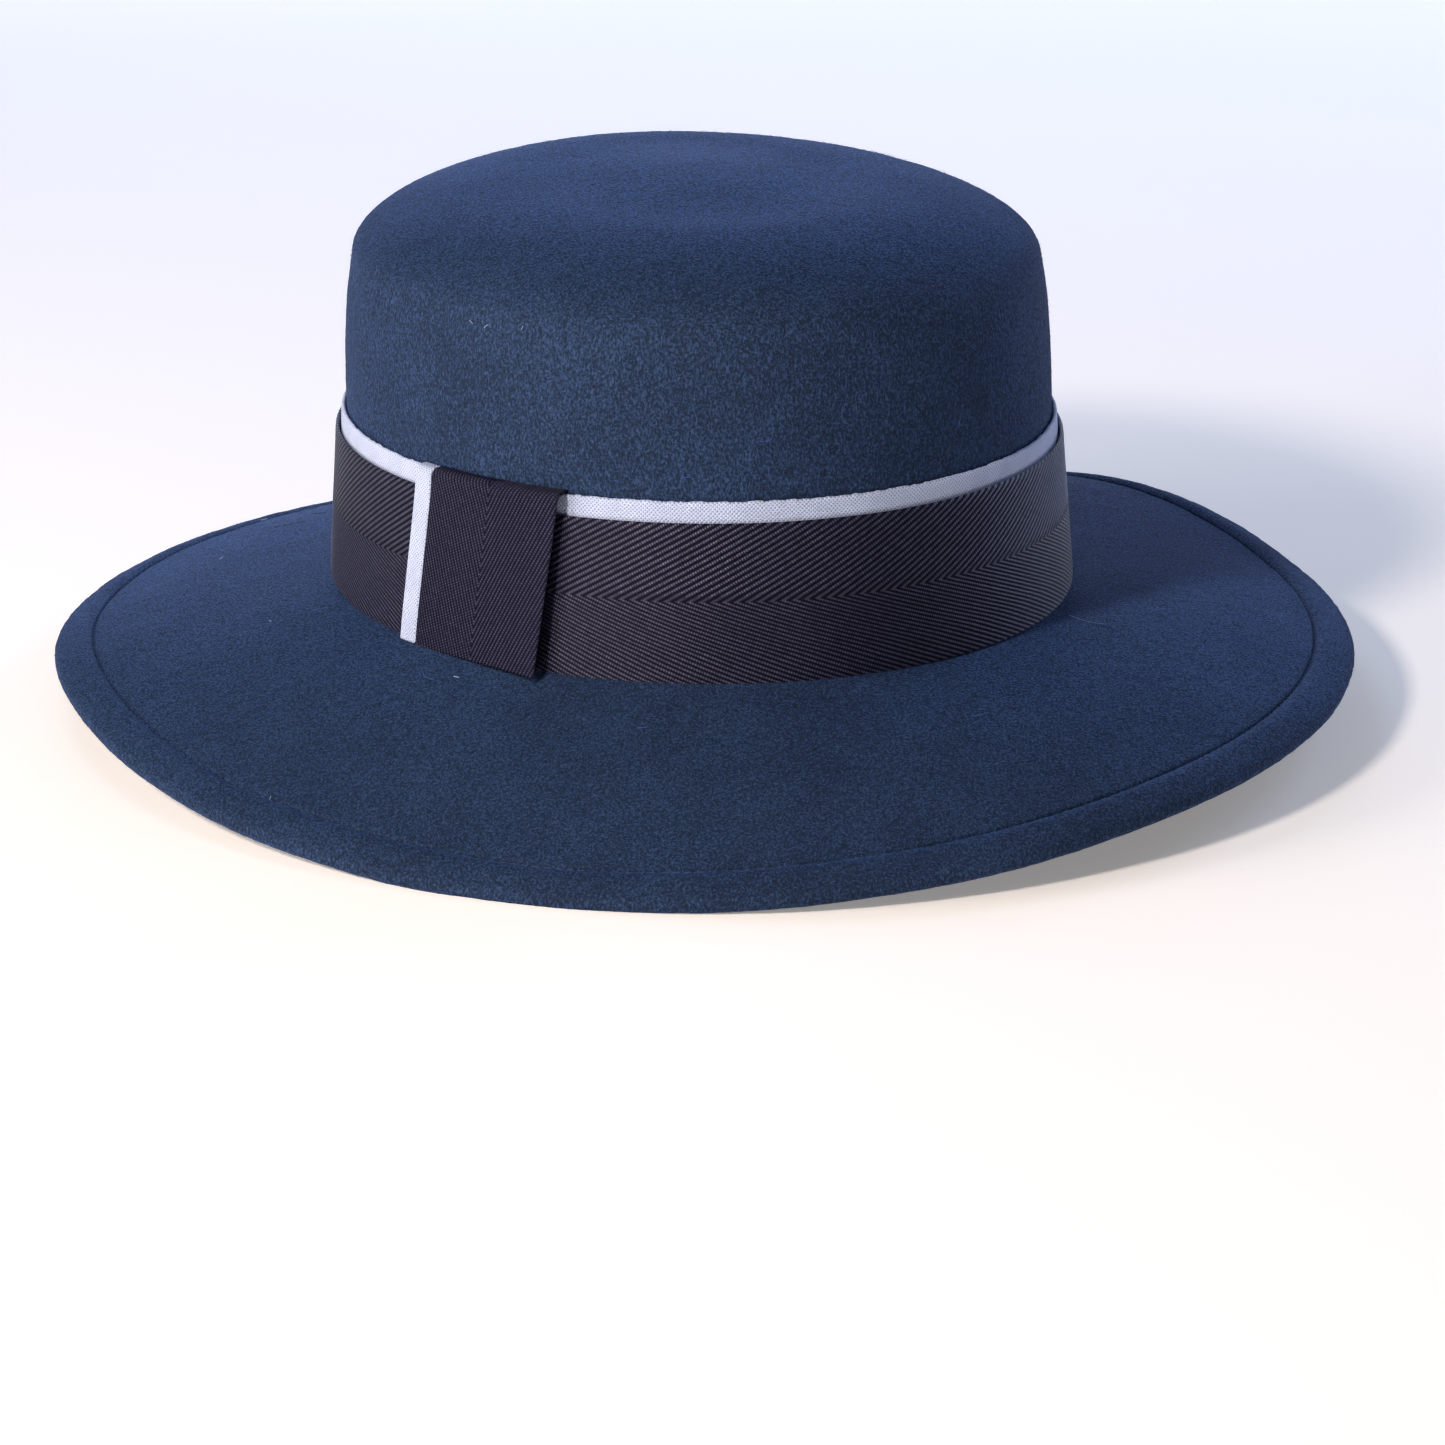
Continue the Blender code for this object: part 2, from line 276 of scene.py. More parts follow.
class BrimSection:
    """The brim's section at each turn: its slope, and the points of its upper face."""

    def __init__(self, turn):
        drop = BRIM_DROP * brim_share(turn, 1)
        self.break_out = FELT + BREAK_RADIUS
        self.rim_out = np.sqrt((BRIM_WIDTH * brim_share(turn, 2)) ** 2 - drop**2)
        self.rim_height = -drop
        across = self.rim_out - self.break_out
        span = np.hypot(across, drop)
        self.slope = np.arctan2(drop, across) - np.arcsin((BREAK_RADIUS + FELT) / span)
        self.length = np.sqrt(span**2 - (BREAK_RADIUS + FELT) ** 2)

    def upper(self, share, depth=0.0):
        """Distance out and height at a share of the way to the rim, sunk by a depth into the felt."""
        rise = BRIM_ARCH * np.sin(np.pi * share) ** 2 - BREAK_RADIUS - depth
        run = self.length * share
        cosine, sine = np.cos(self.slope), np.sin(self.slope)
        return self.break_out + cosine * run + sine * rise, cosine * rise - sine * run

    def share_from_rim(self, distance):
        """The share of the way at a distance in from the rim's outermost line."""
        return 1 - (distance - FELT) / self.length

    def round_break(self, radius, share):
        """A point on the round of the break, from the crown's wall at 0 to the brim at 1."""
        angle = math.pi + (math.pi / 2 - self.slope) * share
        return self.break_out + radius * np.cos(angle), radius * np.sin(angle)

    def round_rim(self, share):
        """A point on the round of the rim, from its upper face at 0 to its lower one at 1."""
        angle = math.pi / 2 - self.slope - math.pi * share
        return self.rim_out + FELT * np.cos(angle), self.rim_height + FELT * np.sin(angle)

    def foot(self, out):
        """The height at which a ribbon standing at this distance out clears the brim."""
        start_out, start_height = self.upper(0.0)
        height = start_height - (out - start_out) * np.tan(self.slope) + GAP / np.cos(self.slope)
        return np.minimum(height, 0.0)


class Seat:
    """How the hat lies on the table, leaning until both low stretches of its rim touch."""

    STEPS = 80
    ROLL = np.linspace(0, 1, 6)
    TURNS = np.arange(STEPS) * FULL_TURN / STEPS

    def __init__(self):
        front, back = self.lowest(FRONT_REST), self.lowest(BACK_REST)
        lean = math.atan2(back[2] - front[2], back[1] - front[1])
        self.turned = np.array(Matrix.Rotation(-lean, 3, "X"))
        rim = np.concatenate([self.rim(self.TURNS, roll) for roll in self.ROLL]) @ self.turned.T
        low, high = rim.min(axis=0), rim.max(axis=0)
        self.shift = np.array((-(low[0] + high[0]) / 2, -(low[1] + high[1]) / 2, -low[2] - REST_FLAT))

    @staticmethod
    def rim(turn, share):
        """Points of the rim's round, before the hat is set down."""
        return place(turn, *BrimSection(turn).round_rim(share))

    def lowest(self, degrees):
        """The lowest point of the rim at one turn."""
        return min((self.rim(math.radians(degrees), roll) for roll in self.ROLL), key=lambda spot: spot[2])

    def down(self, points):
        """Points of the hat as it lies, where its lowest felt is pressed flat on the table."""
        moved = points @ self.turned.T + self.shift
        moved[..., 2] = np.maximum(moved[..., 2], 0.0)
        return moved


SEAT = Seat()


def settings(name):
    """One group of the user's settings."""
    return getattr(bpy.context.scene, name)


# The kinds of node that the materials and the trees use most
MATH = "ShaderNodeMath"
VECTOR_MATH = "ShaderNodeVectorMath"
RANGE = "ShaderNodeMapRange"
MIX = "ShaderNodeMix"
NOISE = "ShaderNodeTexNoise"


def connect(tree, node, inputs):
    """Sets a node's inputs to values, or links them to outputs. A node stands for its first output."""
    for socket, value in inputs.items():
        if isinstance(value, bpy.types.Node):
            value = value.outputs[0]
        if isinstance(value, bpy.types.NodeSocket):
            tree.links.new(value, node.inputs[socket])
        else:
            node.inputs[socket].default_value = value


def add(tree, kind, inputs=None, **options):
    """A node with its options and its inputs set."""
    node = tree.nodes.new(kind)
    for option, value in options.items():
        setattr(node, option, value)
    connect(tree, node, inputs or {})
    return node


def new_material(name):
    """A material, its tree and its shader, ready for the pattern."""
    material = bpy.data.materials.new(name)
    material.use_nodes = True
    return material, material.node_tree, material.node_tree.nodes["Principled BSDF"]


def wool_felt():
    """Wool felt, blocked over steam and brushed: matt, mottled at the size of its matted fibres, with painted
    shade in their hollows and a painted glint on their tops, and bluer and lighter where the nap catches
    light at a slant."""
    felt = settings("hat_felt")
    drift_size, drift_reach, mottle_size = 4 * MM, 2 * MM, 22 * MM
    # Real fibres are finer than a picture of the whole hat shows, so the tufts that they mat into are drawn
    # instead, with coarse fibres that lie over them three ways
    tuft_size, fibre_width = 0.55 * MM, 0.38 * MM
    fibre_turns = ((0.0, 0.3, 0.2), (0.9, 0.5, 1.2), (1.5, 0.2, 2.3))
    fibre_stretch = (1.0, 1.0, 0.3)
    material, tree, shader = new_material("wool felt")
    spot = add(tree, "ShaderNodeTexCoord").outputs["Object"]
    drift = add(tree, NOISE, {"Vector": spot, "Scale": 1 / drift_size, "Detail": 2.0}).outputs["Color"]
    wander = add(tree, VECTOR_MATH, {0: drift, 1: (0.5, 0.5, 0.5)}, operation="SUBTRACT")
    shift = add(tree, VECTOR_MATH, {0: wander, "Scale": drift_reach}, operation="SCALE")
    bent = add(tree, VECTOR_MATH, {0: spot, 1: shift}, operation="ADD")
    tufts = add(tree, NOISE, {"Vector": bent, "Scale": 1 / tuft_size, "Detail": 1.0})
    matted = None
    for turn in fibre_turns:
        laid = add(tree, "ShaderNodeMapping", {"Vector": bent, "Rotation": turn, "Scale": fibre_stretch})
        fibres = add(tree, NOISE, {"Vector": laid, "Scale": 1 / fibre_width, "Detail": 1.0})
        matted = add(tree, MATH, {0: matted, 1: fibres}, operation="MAXIMUM") if matted else fibres
    tuft_share = add(tree, RANGE, {0: tufts, 1: 0.3, 2: 0.7, 4: 0.5})
    fibre_share = add(tree, RANGE, {0: matted, 1: 0.45, 2: 0.75, 4: 0.5})
    nap = add(tree, MATH, {0: tuft_share, 1: fibre_share}, operation="ADD")
    broad = add(tree, NOISE, {"Vector": spot, "Scale": 1 / mottle_size, "Detail": 2.0})
    mottle = add(tree, RANGE, {0: broad, 1: 0.3, 2: 0.7, 3: -0.06, 4: 0.06})
    # The felt's colour is painted darker in the hollows of the tufts and fibres, where their bump is low
    # (painted shade), and lighter on their tops (painted glint), over a broad mottle of tone that differs at
    # random
    light = add(tree, MATH, {0: nap, 1: mottle}, operation="ADD")
    body = add(tree, MIX, {
        "Factor": add(tree, RANGE, {0: light, 1: 0.25, 2: 0.55}), 6: (*felt.painted_shade, 1), 7: (*felt.colour, 1),
    }, data_type="RGBA").outputs[2]
    colour = add(tree, MIX, {
        "Factor": add(tree, RANGE, {0: light, 1: 0.50, 2: 0.85}), 6: body, 7: (*felt.glint_and_pale_fibre, 1),
    }, data_type="RGBA").outputs[2]
    connect(tree, shader, {
        "Base Color": colour,
        "Roughness": 0.7,
        "Specular IOR Level": 0.06,
        "Sheen Weight": add(tree, RANGE, {0: nap, 1: 0.30, 2: 0.70, 3: 0.02, 4: 0.36}),
        "Sheen Roughness": 0.4,
        "Sheen Tint": (0.15, 0.34, 1.0, 1),
        "Normal": add(tree, "ShaderNodeBump", {"Height": nap, "Strength": 0.6, "Distance": 0.32 * MM}),
    })
    return material


def uneven_tone(name, patch, first, second, roughness, specular):
    """A dull fibre or thread whose colour drifts between two tones, over patches of a size."""
    material, tree, shader = new_material(name)
    spot = add(tree, "ShaderNodeTexCoord").outputs["Object"]
    noise = add(tree, NOISE, {"Vector": spot, "Scale": 1 / patch})
    share = add(tree, RANGE, {0: noise, 1: 0.35, 2: 0.65})
    tone = add(tree, MIX, {"Factor": share, 6: (*first, 1), 7: (*second, 1)}, data_type="RGBA")
    connect(tree, shader, {
        "Base Color": tone.outputs[2], "Roughness": roughness, "Specular IOR Level": specular,
    })
    return material


def felt_fibre():
    """Single dyed wool fibres: matt, and a little lighter than the felt that they stand on."""
    felt = settings("hat_felt")
    return uneven_tone("wool fibre", 3 * MM, felt.colour, felt.glint_and_pale_fibre, roughness=0.9, specular=0.2)


def sewing_thread():
    """Polyester sewing thread, twisted: a low sheen, and a tone that drifts a little along it."""
    colour = settings("hat_stitch").colour
    darker = [0.5 * part for part in colour]
    return uneven_tone("polyester thread", 2 * MM, darker, colour, roughness=0.6, specular=0.4)


def wave(tree, count):
    """A wave that crests at every whole number of a count."""
    angle = add(tree, MATH, {0: count, 1: FULL_TURN}, operation="MULTIPLY")
    return add(tree, MATH, {0: angle}, operation="COSINE")


def thread_counts(tree):
    """The counts of threads both ways at each spot of a cloth, from its UV map."""
    flat = add(tree, "ShaderNodeUVMap", uv_map="cloth")
    parts = add(tree, "ShaderNodeSeparateXYZ", {0: flat})
    return flat, parts.outputs[0], parts.outputs[1]


def herringbone_ribbon(name, gleam, upright):
    """Cotton and rayon ribbon, woven in herringbone twill: dark, with painted shade between the wales and
    beads, and a gleam on the ridge of each wale, which the threads break into beads. The gleam is drawn out
    across threads that go round or upright."""
    ribbon = settings("hat_ribbon")
    material, tree, shader = new_material(name)
    _, wale, thread = thread_counts(tree)
    nearest = []
    for count in (wale, thread):
        above = add(tree, MATH, {0: count, 1: 0.5}, operation="ADD")
        nearest.append(add(tree, MATH, {0: above}, operation="FLOOR"))
    cell = add(tree, "ShaderNodeCombineXYZ", dict(enumerate(nearest)))
    chance = add(tree, "ShaderNodeTexWhiteNoise", {"Vector": cell}).outputs["Value"]
    ridge = add(tree, RANGE, {0: wave(tree, wale), 1: -0.5, 2: 0.9})
    beading = add(tree, RANGE, {0: wave(tree, thread), 1: -0.8, 2: 0.8, 3: 0.25})
    bead = add(tree, MATH, {0: ridge, 1: beading}, operation="MULTIPLY")
    luck = add(tree, RANGE, {0: chance, 3: 0.65, 4: 1.2})
    uneven = add(tree, MATH, {0: bead, 1: luck}, operation="MULTIPLY")
    # Painted shade: the colour darkens between the wales and beads, where their bump is low; each bead's tone
    # and gleam also differ at random
    colour = add(tree, MIX, {
        "Factor": uneven, 6: (*ribbon.painted_shade, 1), 7: (*ribbon.colour, 1),
    }, data_type="RGBA").outputs[2]
    connect(tree, shader, {
        "Base Color": colour,
        "Roughness": add(tree, RANGE, {0: bead, 3: 0.64, 4: 0.42}),
        "IOR": 1.8,
        "Specular IOR Level": add(tree, RANGE, {0: uneven, 3: 0.05, 4: gleam}),
        "Specular Tint": (0.80, 0.76, 1.0, 1),
        "Anisotropic": 0.9,
        "Anisotropic Rotation": 0.0 if upright else 0.25,
        "Tangent": add(tree, "ShaderNodeTangent", direction_type="RADIAL", axis="Z"),
        "Normal": add(tree, "ShaderNodeBump", {"Height": bead, "Strength": 0.8, "Distance": 0.16 * MM}),
    })
    return material


def cotton_tape():
    """Cotton tape in a close plain weave: matt white, dotted with painted shade in the hollows between its
    threads.
    """
    tape = settings("hat_tape")
    material, tree, shader = new_material("cotton tape")
    flat, along, across = thread_counts(tree)
    # The threads wander by up to two fifths of their pitch
    drift = add(tree, NOISE, {"Vector": flat, "Scale": 0.4})
    shift = add(tree, RANGE, {0: drift, 1: 0.3, 2: 0.7, 4: 0.4})
    crossings = []
    for way in ("ADD", "SUBTRACT"):
        straight = add(tree, MATH, {0: along, 1: across}, operation=way)
        crossings.append(wave(tree, add(tree, MATH, {0: straight, 1: shift}, operation=way)))
    weave = add(tree, RANGE, {
        0: add(tree, MATH, dict(enumerate(crossings)), operation="ADD"), 1: -2, 2: 2,
    })
    broad = add(tree, NOISE, {"Vector": flat, "Scale": 0.15, "Detail": 2.0})
    tone = add(tree, MATH, {
        0: add(tree, RANGE, {0: weave, 1: 0.05, 2: 0.45}),
        1: add(tree, RANGE, {0: broad, 1: 0.3, 2: 0.7, 3: 0.8}),
    }, operation="MULTIPLY")
    # Painted shade: the colour darkens in the hollows of the weave, where its bump is low; broad patches also
    # differ a little in tone at random
    colour = add(tree, MIX, {
        "Factor": tone, 6: (*tape.painted_shade, 1), 7: (*tape.colour, 1),
    }, data_type="RGBA").outputs[2]
    connect(tree, shader, {
        "Base Color": colour,
        "Roughness": 0.85,
        "Specular IOR Level": 0.25,
        "Sheen Weight": 0.05,
        "Normal": add(tree, "ShaderNodeBump", {"Height": weave, "Strength": 0.8, "Distance": 0.2 * MM}),
    })
    return material


def paper_floor():
    """Matt paper over a light table: pale, with no gloss to mirror the hat, and a little light of its own
    that grows away from the middle."""
    pale = settings("hat_stage").floor
    darker = [0.97 * part for part in pale]
    material, tree, shader = new_material("matt paper")
    spot = add(tree, "ShaderNodeTexCoord").outputs["Object"]
    noise = add(tree, NOISE, {"Vector": spot, "Scale": 2.0})
    tone = add(tree, MIX, {"Factor": noise, 6: (*darker, 1), 7: (*pale, 1)}, data_type="RGBA")
    distance = add(tree, VECTOR_MATH, {0: spot}, operation="LENGTH").outputs["Value"]
    connect(tree, shader, {
        "Base Color": tone.outputs[2],
        "Roughness": 0.95,
        "Specular IOR Level": 0.1,
        "Emission Color": (*linear("#fdf8f3"), 1),
        "Emission Strength": add(tree, RANGE, {0: distance, 1: 0.8, 2: 2.5, 3: 0.25, 4: 0.75}),
    })
    return material


def grid_faces(rows, columns, start=0, closed=True):
    """Four-sided faces of a grid, rows running down its outer face and columns to the right."""
    row = np.arange(rows - 1)[:, None] * columns + start
    here = np.arange(columns if closed else columns - 1)[None, :]
    there = (here + 1) % columns
    corners = (row + here, row + columns + here, row + columns + there, row + there)
    return np.stack(corners, axis=-1).reshape(-1, 4)


def new_piece(name, vertices, faces=(), edges=(), material=None):
    """A mesh object at the origin, with its place in its mesh."""
    mesh = bpy.data.meshes.new(name)
    mesh.from_pydata(np.asarray(vertices).tolist(), list(edges), [tuple(face) for face in faces])
    mesh.shade_smooth()
    if material:
        mesh.materials.append(material)
    piece = bpy.data.objects.new(name, mesh)
    bpy.context.scene.collection.objects.link(piece)
    return piece


def store(piece, name, values, kind="FLOAT"):
    """An attribute with one value for each point of the mesh."""
    attribute = piece.data.attributes.new(name, kind, "POINT")
    key = "vector" if kind == "FLOAT_VECTOR" else "value"
    attribute.data.foreach_set(key, np.asarray(values, np.float32).ravel())


def node_group(name, inputs):
    """A geometry tree with named inputs, and the outputs of its input node."""
    tree = bpy.data.node_groups.new(name, "GeometryNodeTree")
    tree.interface.new_socket("Geometry", in_out="INPUT", socket_type="NodeSocketGeometry")
    for label, kind in inputs.items():
        tree.interface.new_socket(label, in_out="INPUT", socket_type="NodeSocket" + kind)
    tree.interface.new_socket("Geometry", in_out="OUTPUT", socket_type="NodeSocketGeometry")
    return tree, add(tree, "NodeGroupInput").outputs


def end_group(tree, geometry, material):
    """The end of every tree: its instances made real, then its material."""
    real = add(tree, "GeometryNodeRealizeInstances", {0: geometry})
    painted = add(tree, "GeometryNodeSetMaterial", {"Geometry": real, "Material": material})
    add(tree, "NodeGroupOutput", {0: painted})


def run_group(piece, tree, values, name=None):
    """The tree's result on a piece, as a plain mesh in a piece of its own or in the same one."""
    modifier = piece.modifiers.new(tree.name, "NODES")
    modifier.node_group = tree
    for socket in tree.interface.items_tree:
        if socket.in_out == "INPUT" and socket.name in values:
            modifier[socket.identifier] = values[socket.name]
    evaluated = piece.evaluated_get(bpy.context.evaluated_depsgraph_get())
    mesh = bpy.data.meshes.new_from_object(evaluated)
    piece.modifiers.remove(modifier)
    mesh.name = name or piece.name
    if name is None:
        piece.data = mesh
        return piece
    made = bpy.data.objects.new(name, mesh)
    bpy.context.scene.collection.objects.link(made)
    return made


def push_out(tree, geometry, distance):
    """The geometry with each point moved out along its normal by a distance."""
    normal = add(tree, "GeometryNodeInputNormal")
    offset = add(tree, VECTOR_MATH, {0: normal, "Scale": distance}, operation="SCALE")
    return add(tree, "GeometryNodeSetPosition", {"Geometry": geometry, "Offset": offset})


def uneven_felt_tree():
    """Lets the felt stray from its true surface, in broad swells and small lumps."""
    swell_size, lump_size = 38 * MM, 3.2 * MM
    tree, given = node_group("uneven felt", {"Unevenness": "Float", "Material": "Material"})
    weight = add(tree, "GeometryNodeInputNamedAttribute", {"Name": "nap"}, data_type="FLOAT")
    swell = add(tree, NOISE, {"Scale": 1 / swell_size, "Detail": 1.0})
    lumps = add(tree, NOISE, {"Scale": 1 / lump_size, "Detail": 2.0})
    height = add(tree, MATH, {
        0: add(tree, RANGE, {0: swell, 3: -1, 4: 1}), 1: add(tree, RANGE, {0: lumps, 3: -0.55, 4: 0.55}),
    }, operation="ADD")
    share = add(tree, MATH, {0: height, 1: weight}, operation="MULTIPLY")
    rise = add(tree, MATH, {0: share, 1: given["Unevenness"]}, operation="MULTIPLY")
    end_group(tree, push_out(tree, given["Geometry"], rise), given["Material"])
    return tree


def nap_tree():
    """Scatters short bent fibres over the felt, lying nearly flat."""
    bend_share = 0.35
    steepest, flattest = math.radians(58), math.radians(86)
    shortest, longest = 0.5, 1.3
    tree, given = node_group("felt nap", {
        "Density": "Float", "Length": "Float", "Width": "Float", "Seed": "Int", "Material": "Material",
    })
    length, seed = given["Length"], given["Seed"]
    weight = add(tree, "GeometryNodeInputNamedAttribute", {"Name": "nap"}, data_type="FLOAT")
    density = add(tree, MATH, {0: given["Density"], 1: weight}, operation="MULTIPLY")
    points = add(tree, "GeometryNodeDistributePointsOnFaces", {
        "Mesh": given["Geometry"], "Density": density, "Seed": seed,
    }, distribute_method="RANDOM")
    radius = add(tree, MATH, {0: given["Width"], 1: 0.5}, operation="MULTIPLY")
    cone = add(tree, "GeometryNodeMeshCone", {
        "Vertices": 3, "Side Segments": 2, "Radius Top": 0.0, "Radius Bottom": radius, "Depth": length,
    }, fill_type="NGON")
    # Each fibre bends aside more and more towards its tip
    height = add(tree, "ShaderNodeSeparateXYZ", {0: add(tree, "GeometryNodeInputPosition")}).outputs[2]
    share = add(tree, MATH, {0: height, 1: length}, operation="DIVIDE")
    squared = add(tree, MATH, {0: share, 1: share}, operation="MULTIPLY")
    bend = add(tree, MATH, {0: squared, 1: length}, operation="MULTIPLY")
    aside = add(tree, MATH, {0: bend, 1: -bend_share}, operation="MULTIPLY")
    offset = add(tree, "ShaderNodeCombineXYZ", {1: aside})
    fibre = add(tree, "GeometryNodeSetPosition", {"Geometry": cone, "Offset": offset})
    turns = add(tree, "FunctionNodeRandomValue", {
        0: (steepest, 0, 0), 1: (flattest, 0, FULL_TURN), "Seed": seed,
    }, data_type="FLOAT_VECTOR")
    turned = add(tree, "FunctionNodeEulerToRotation", {0: turns})
    rotation = add(tree, "FunctionNodeRotateRotation", {
        "Rotation": points.outputs["Rotation"], "Rotate By": turned,
    }, rotation_space="LOCAL")
    sizes = add(tree, "FunctionNodeRandomValue", {2: shortest, 3: longest, "Seed": seed}, data_type="FLOAT")
    planted = add(tree, "GeometryNodeInstanceOnPoints", {
        "Points": points, "Instance": fibre, "Rotation": rotation, "Scale": sizes.outputs[1],
    })
    end_group(tree, planted, given["Material"])
    return tree


def stitch_tree():
    """Lays one short round of thread at every pitch along a closed seam line."""
    tree, given = node_group("seam stitches", {
        "Pitch": "Float", "Stitch Length": "Float", "Thread": "Float", "Material": "Material",
    })
    thread = given["Thread"]
    seam = add(tree, "GeometryNodeMeshToCurve", {0: given["Geometry"]})
    spaced = add(tree, "GeometryNodeResampleCurve", {"Curve": seam, "Length": given["Pitch"]}, mode="LENGTH")
    ball = add(tree, "GeometryNodeMeshUVSphere", {"Segments": 8, "Rings": 6, "Radius": 0.5})
    size = add(tree, "ShaderNodeCombineXYZ", {0: given["Stitch Length"], 1: thread, 2: thread})
    tangent = add(tree, "GeometryNodeInputTangent")
    up = add(tree, "GeometryNodeInputNamedAttribute", {"Name": "up"}, data_type="FLOAT_VECTOR")
    along = add(tree, "FunctionNodeAlignRotationToVector", {"Vector": tangent}, axis="X")
    upright = add(tree, "FunctionNodeAlignRotationToVector", {
        "Rotation": along, "Vector": up,
    }, axis="Z", pivot_axis="X")
    laid = add(tree, "GeometryNodeInstanceOnPoints", {
        "Points": spaced, "Instance": ball, "Rotation": upright, "Scale": size,
    })
    end_group(tree, laid, given["Material"])
    return tree


def twill_tree():
    """Raises the wales of a herringbone ribbon where its cloth counts them."""
    tree, given = node_group("herringbone wales", {"Relief": "Float", "Material": "Material"})
    counts = add(tree, "GeometryNodeInputNamedAttribute", {"Name": "cloth"}, data_type="FLOAT_VECTOR")
    parts = add(tree, "ShaderNodeSeparateXYZ", {0: counts}).outputs
    height = add(tree, MATH, {0: wave(tree, parts[0]), 1: given["Relief"]}, operation="MULTIPLY")
    halved = add(tree, MATH, {0: height, 1: 0.5}, operation="MULTIPLY")
    shown = add(tree, MATH, {0: halved, 1: parts[2]}, operation="MULTIPLY")
    end_group(tree, push_out(tree, given["Geometry"], shown), given["Material"])
    return tree


# How finely the felt is drawn: round the hat, and down each stretch of its section
FELT_TURNS = 640
DOME_ROWS = 12
SHOULDER_ROWS = 16
WALL_ROWS = 22
BREAK_ROWS = 3
BRIM_ROWS = 28
SEAM_ROWS = 5
PUFF_ROWS = 10
ROLL_ROWS = 8
UNDER_ROWS = 4
INNER_WALL_ROWS = 5
INNER_SHOULDER_ROWS = 6
INNER_DOME_ROWS = 2

# The rolled rim: how far from the seam the felt is pulled in, how near to the seam its rows come, how wide
# the groove is, and how soon past it the felt swells
SEAM_PULL = 1.6 * MM
SEAM_NEAR = 0.1 * MM
GROOVE_REACH = 0.32 * MM
SWELL_REACH = 1.7 * MM

# Where the nap is worn or covered: it fades in above the band and out along the brim, and is thin below
NAP_ABOVE_BAND = 5 * MM
NAP_FROM = 4 * MM
NAP_FULL = 12 * MM
NAP_BELOW = 0.5

# Below, the single felt reaches out to this share of the way to the edge of the turned-under felt
WELT_EDGE = 0.99


def rim_distances():
    """Distances from the seam at which the rim is drawn, close together near the seam itself."""
    before = -np.geomspace(SEAM_PULL, SEAM_NEAR, SEAM_ROWS)
    after = np.geomspace(SEAM_NEAR, STITCH_INSET - FELT, PUFF_ROWS)[:-1]
    return np.concatenate((before, (0.0,), after))


def rim_relief(distance):
    """Height of the felt at a distance out from the seam: a sharp groove, then the swell of the rim."""
    felt = settings("hat_felt")
    groove = felt.groove * math.exp(-((distance / GROOVE_REACH) ** 2))
    if distance < 0:
        return -groove
    swell = 1 - math.exp(-((distance / SWELL_REACH) ** 2))
    return felt.puff * swell * (1 - (distance / (STITCH_INSET - FELT)) ** 3) - groove


def crown_rows(inset, wall_rows, shoulder_rows):
    """Distances out and heights down the crown, set in from its outer face by inset."""
    rows = []
    top = wall_out(WALL_HEIGHT)
    for angle in np.linspace(math.pi / 2, 0, shoulder_rows, endpoint=False):
        cosine, sine = max(math.cos(angle), 0.0), math.sin(angle)
        reach = SHOULDER_REACH * (1 - cosine ** (2 / SHOULDER_POWER))
        rise = (SHOULDER_HEIGHT - inset) * sine ** (2 / SHOULDER_POWER)
        rows.append((top - inset - reach, WALL_HEIGHT + rise))
    for height in np.linspace(WALL_HEIGHT, 0, wall_rows, endpoint=False):
        rows.append((wall_out(height) - inset, height))
    return rows


def felt_rows(turn):
    """Every row of the felt's section from the top's edge, round the rim and up inside, with its nap."""
    brim = BrimSection(turn)
    seam = brim.share_from_rim(STITCH_INSET)
    welt = brim.share_from_rim(WELT_WIDTH)
    rows = []
    for out, height in crown_rows(0.0, WALL_ROWS, SHOULDER_ROWS):
        rows.append((out, height, ease(height, BAND_TOP, BAND_TOP + NAP_ABOVE_BAND)))
    for share in np.linspace(0, 1, BREAK_ROWS):
        rows.append((*brim.round_break(BREAK_RADIUS, share), 0.0))
    for share in np.linspace(0, 1, BRIM_ROWS + 1)[1:-1]:
        spot = (seam - SEAM_PULL / brim.length) * share
        rows.append((*brim.upper(spot), ease(spot * brim.length, NAP_FROM, NAP_FULL)))
    for distance in rim_distances():
        rows.append((*brim.upper(seam + distance / brim.length, -rim_relief(distance)), 1.0))
    for share in np.linspace(0, 1, ROLL_ROWS + 1):
        rows.append((*brim.round_rim(share), 1.0))
    for share in np.linspace(1, 0, UNDER_ROWS + 1)[1:]:
        rows.append((*brim.upper(welt + (1 - welt) * share, 2 * FELT), NAP_BELOW))
    for share in np.linspace(1, 0, UNDER_ROWS + 1)[:-1]:
        rows.append((*brim.upper(WELT_EDGE * welt * share, FELT), 0.0))
    for share in np.linspace(1, 0, BREAK_ROWS):
        rows.append((*brim.round_break(BREAK_RADIUS + FELT, share), 0.0))
    rows += [(*row, 0.0) for row in crown_rows(FELT, INNER_WALL_ROWS, INNER_SHOULDER_ROWS)[::-1]]
    return rows


def dome_row(oval, share):
    """A ring of the crown's top at a share of the way out to its edge."""
    ring = oval.copy()
    ring[:, :2] *= share
    ring[:, 2] += DOME_RISE * (1 - share**2) ** 2
    return ring


def felt_grid():
    """The felt's rings from the middle of the top to the middle inside it, and each ring's nap."""
    turn = np.arange(FELT_TURNS) * FULL_TURN / FELT_TURNS
    rows = felt_rows(turn)
    rings = [place(turn, out, height) for out, height, _ in rows]
    nap = [np.broadcast_to(weight, turn.shape) for _, _, weight in rows]
    over = [dome_row(rings[0], share) for share in np.linspace(0, 1, DOME_ROWS + 1)[1:-1]]
    under = [dome_row(rings[-1], share) for share in np.linspace(1, 0, INNER_DOME_ROWS + 1)[1:-1]]
    nap = [np.ones(FELT_TURNS)] * len(over) + nap + [np.zeros(FELT_TURNS)] * len(under)
    return SEAT.down(np.array(over + rings + under)), np.array(nap)


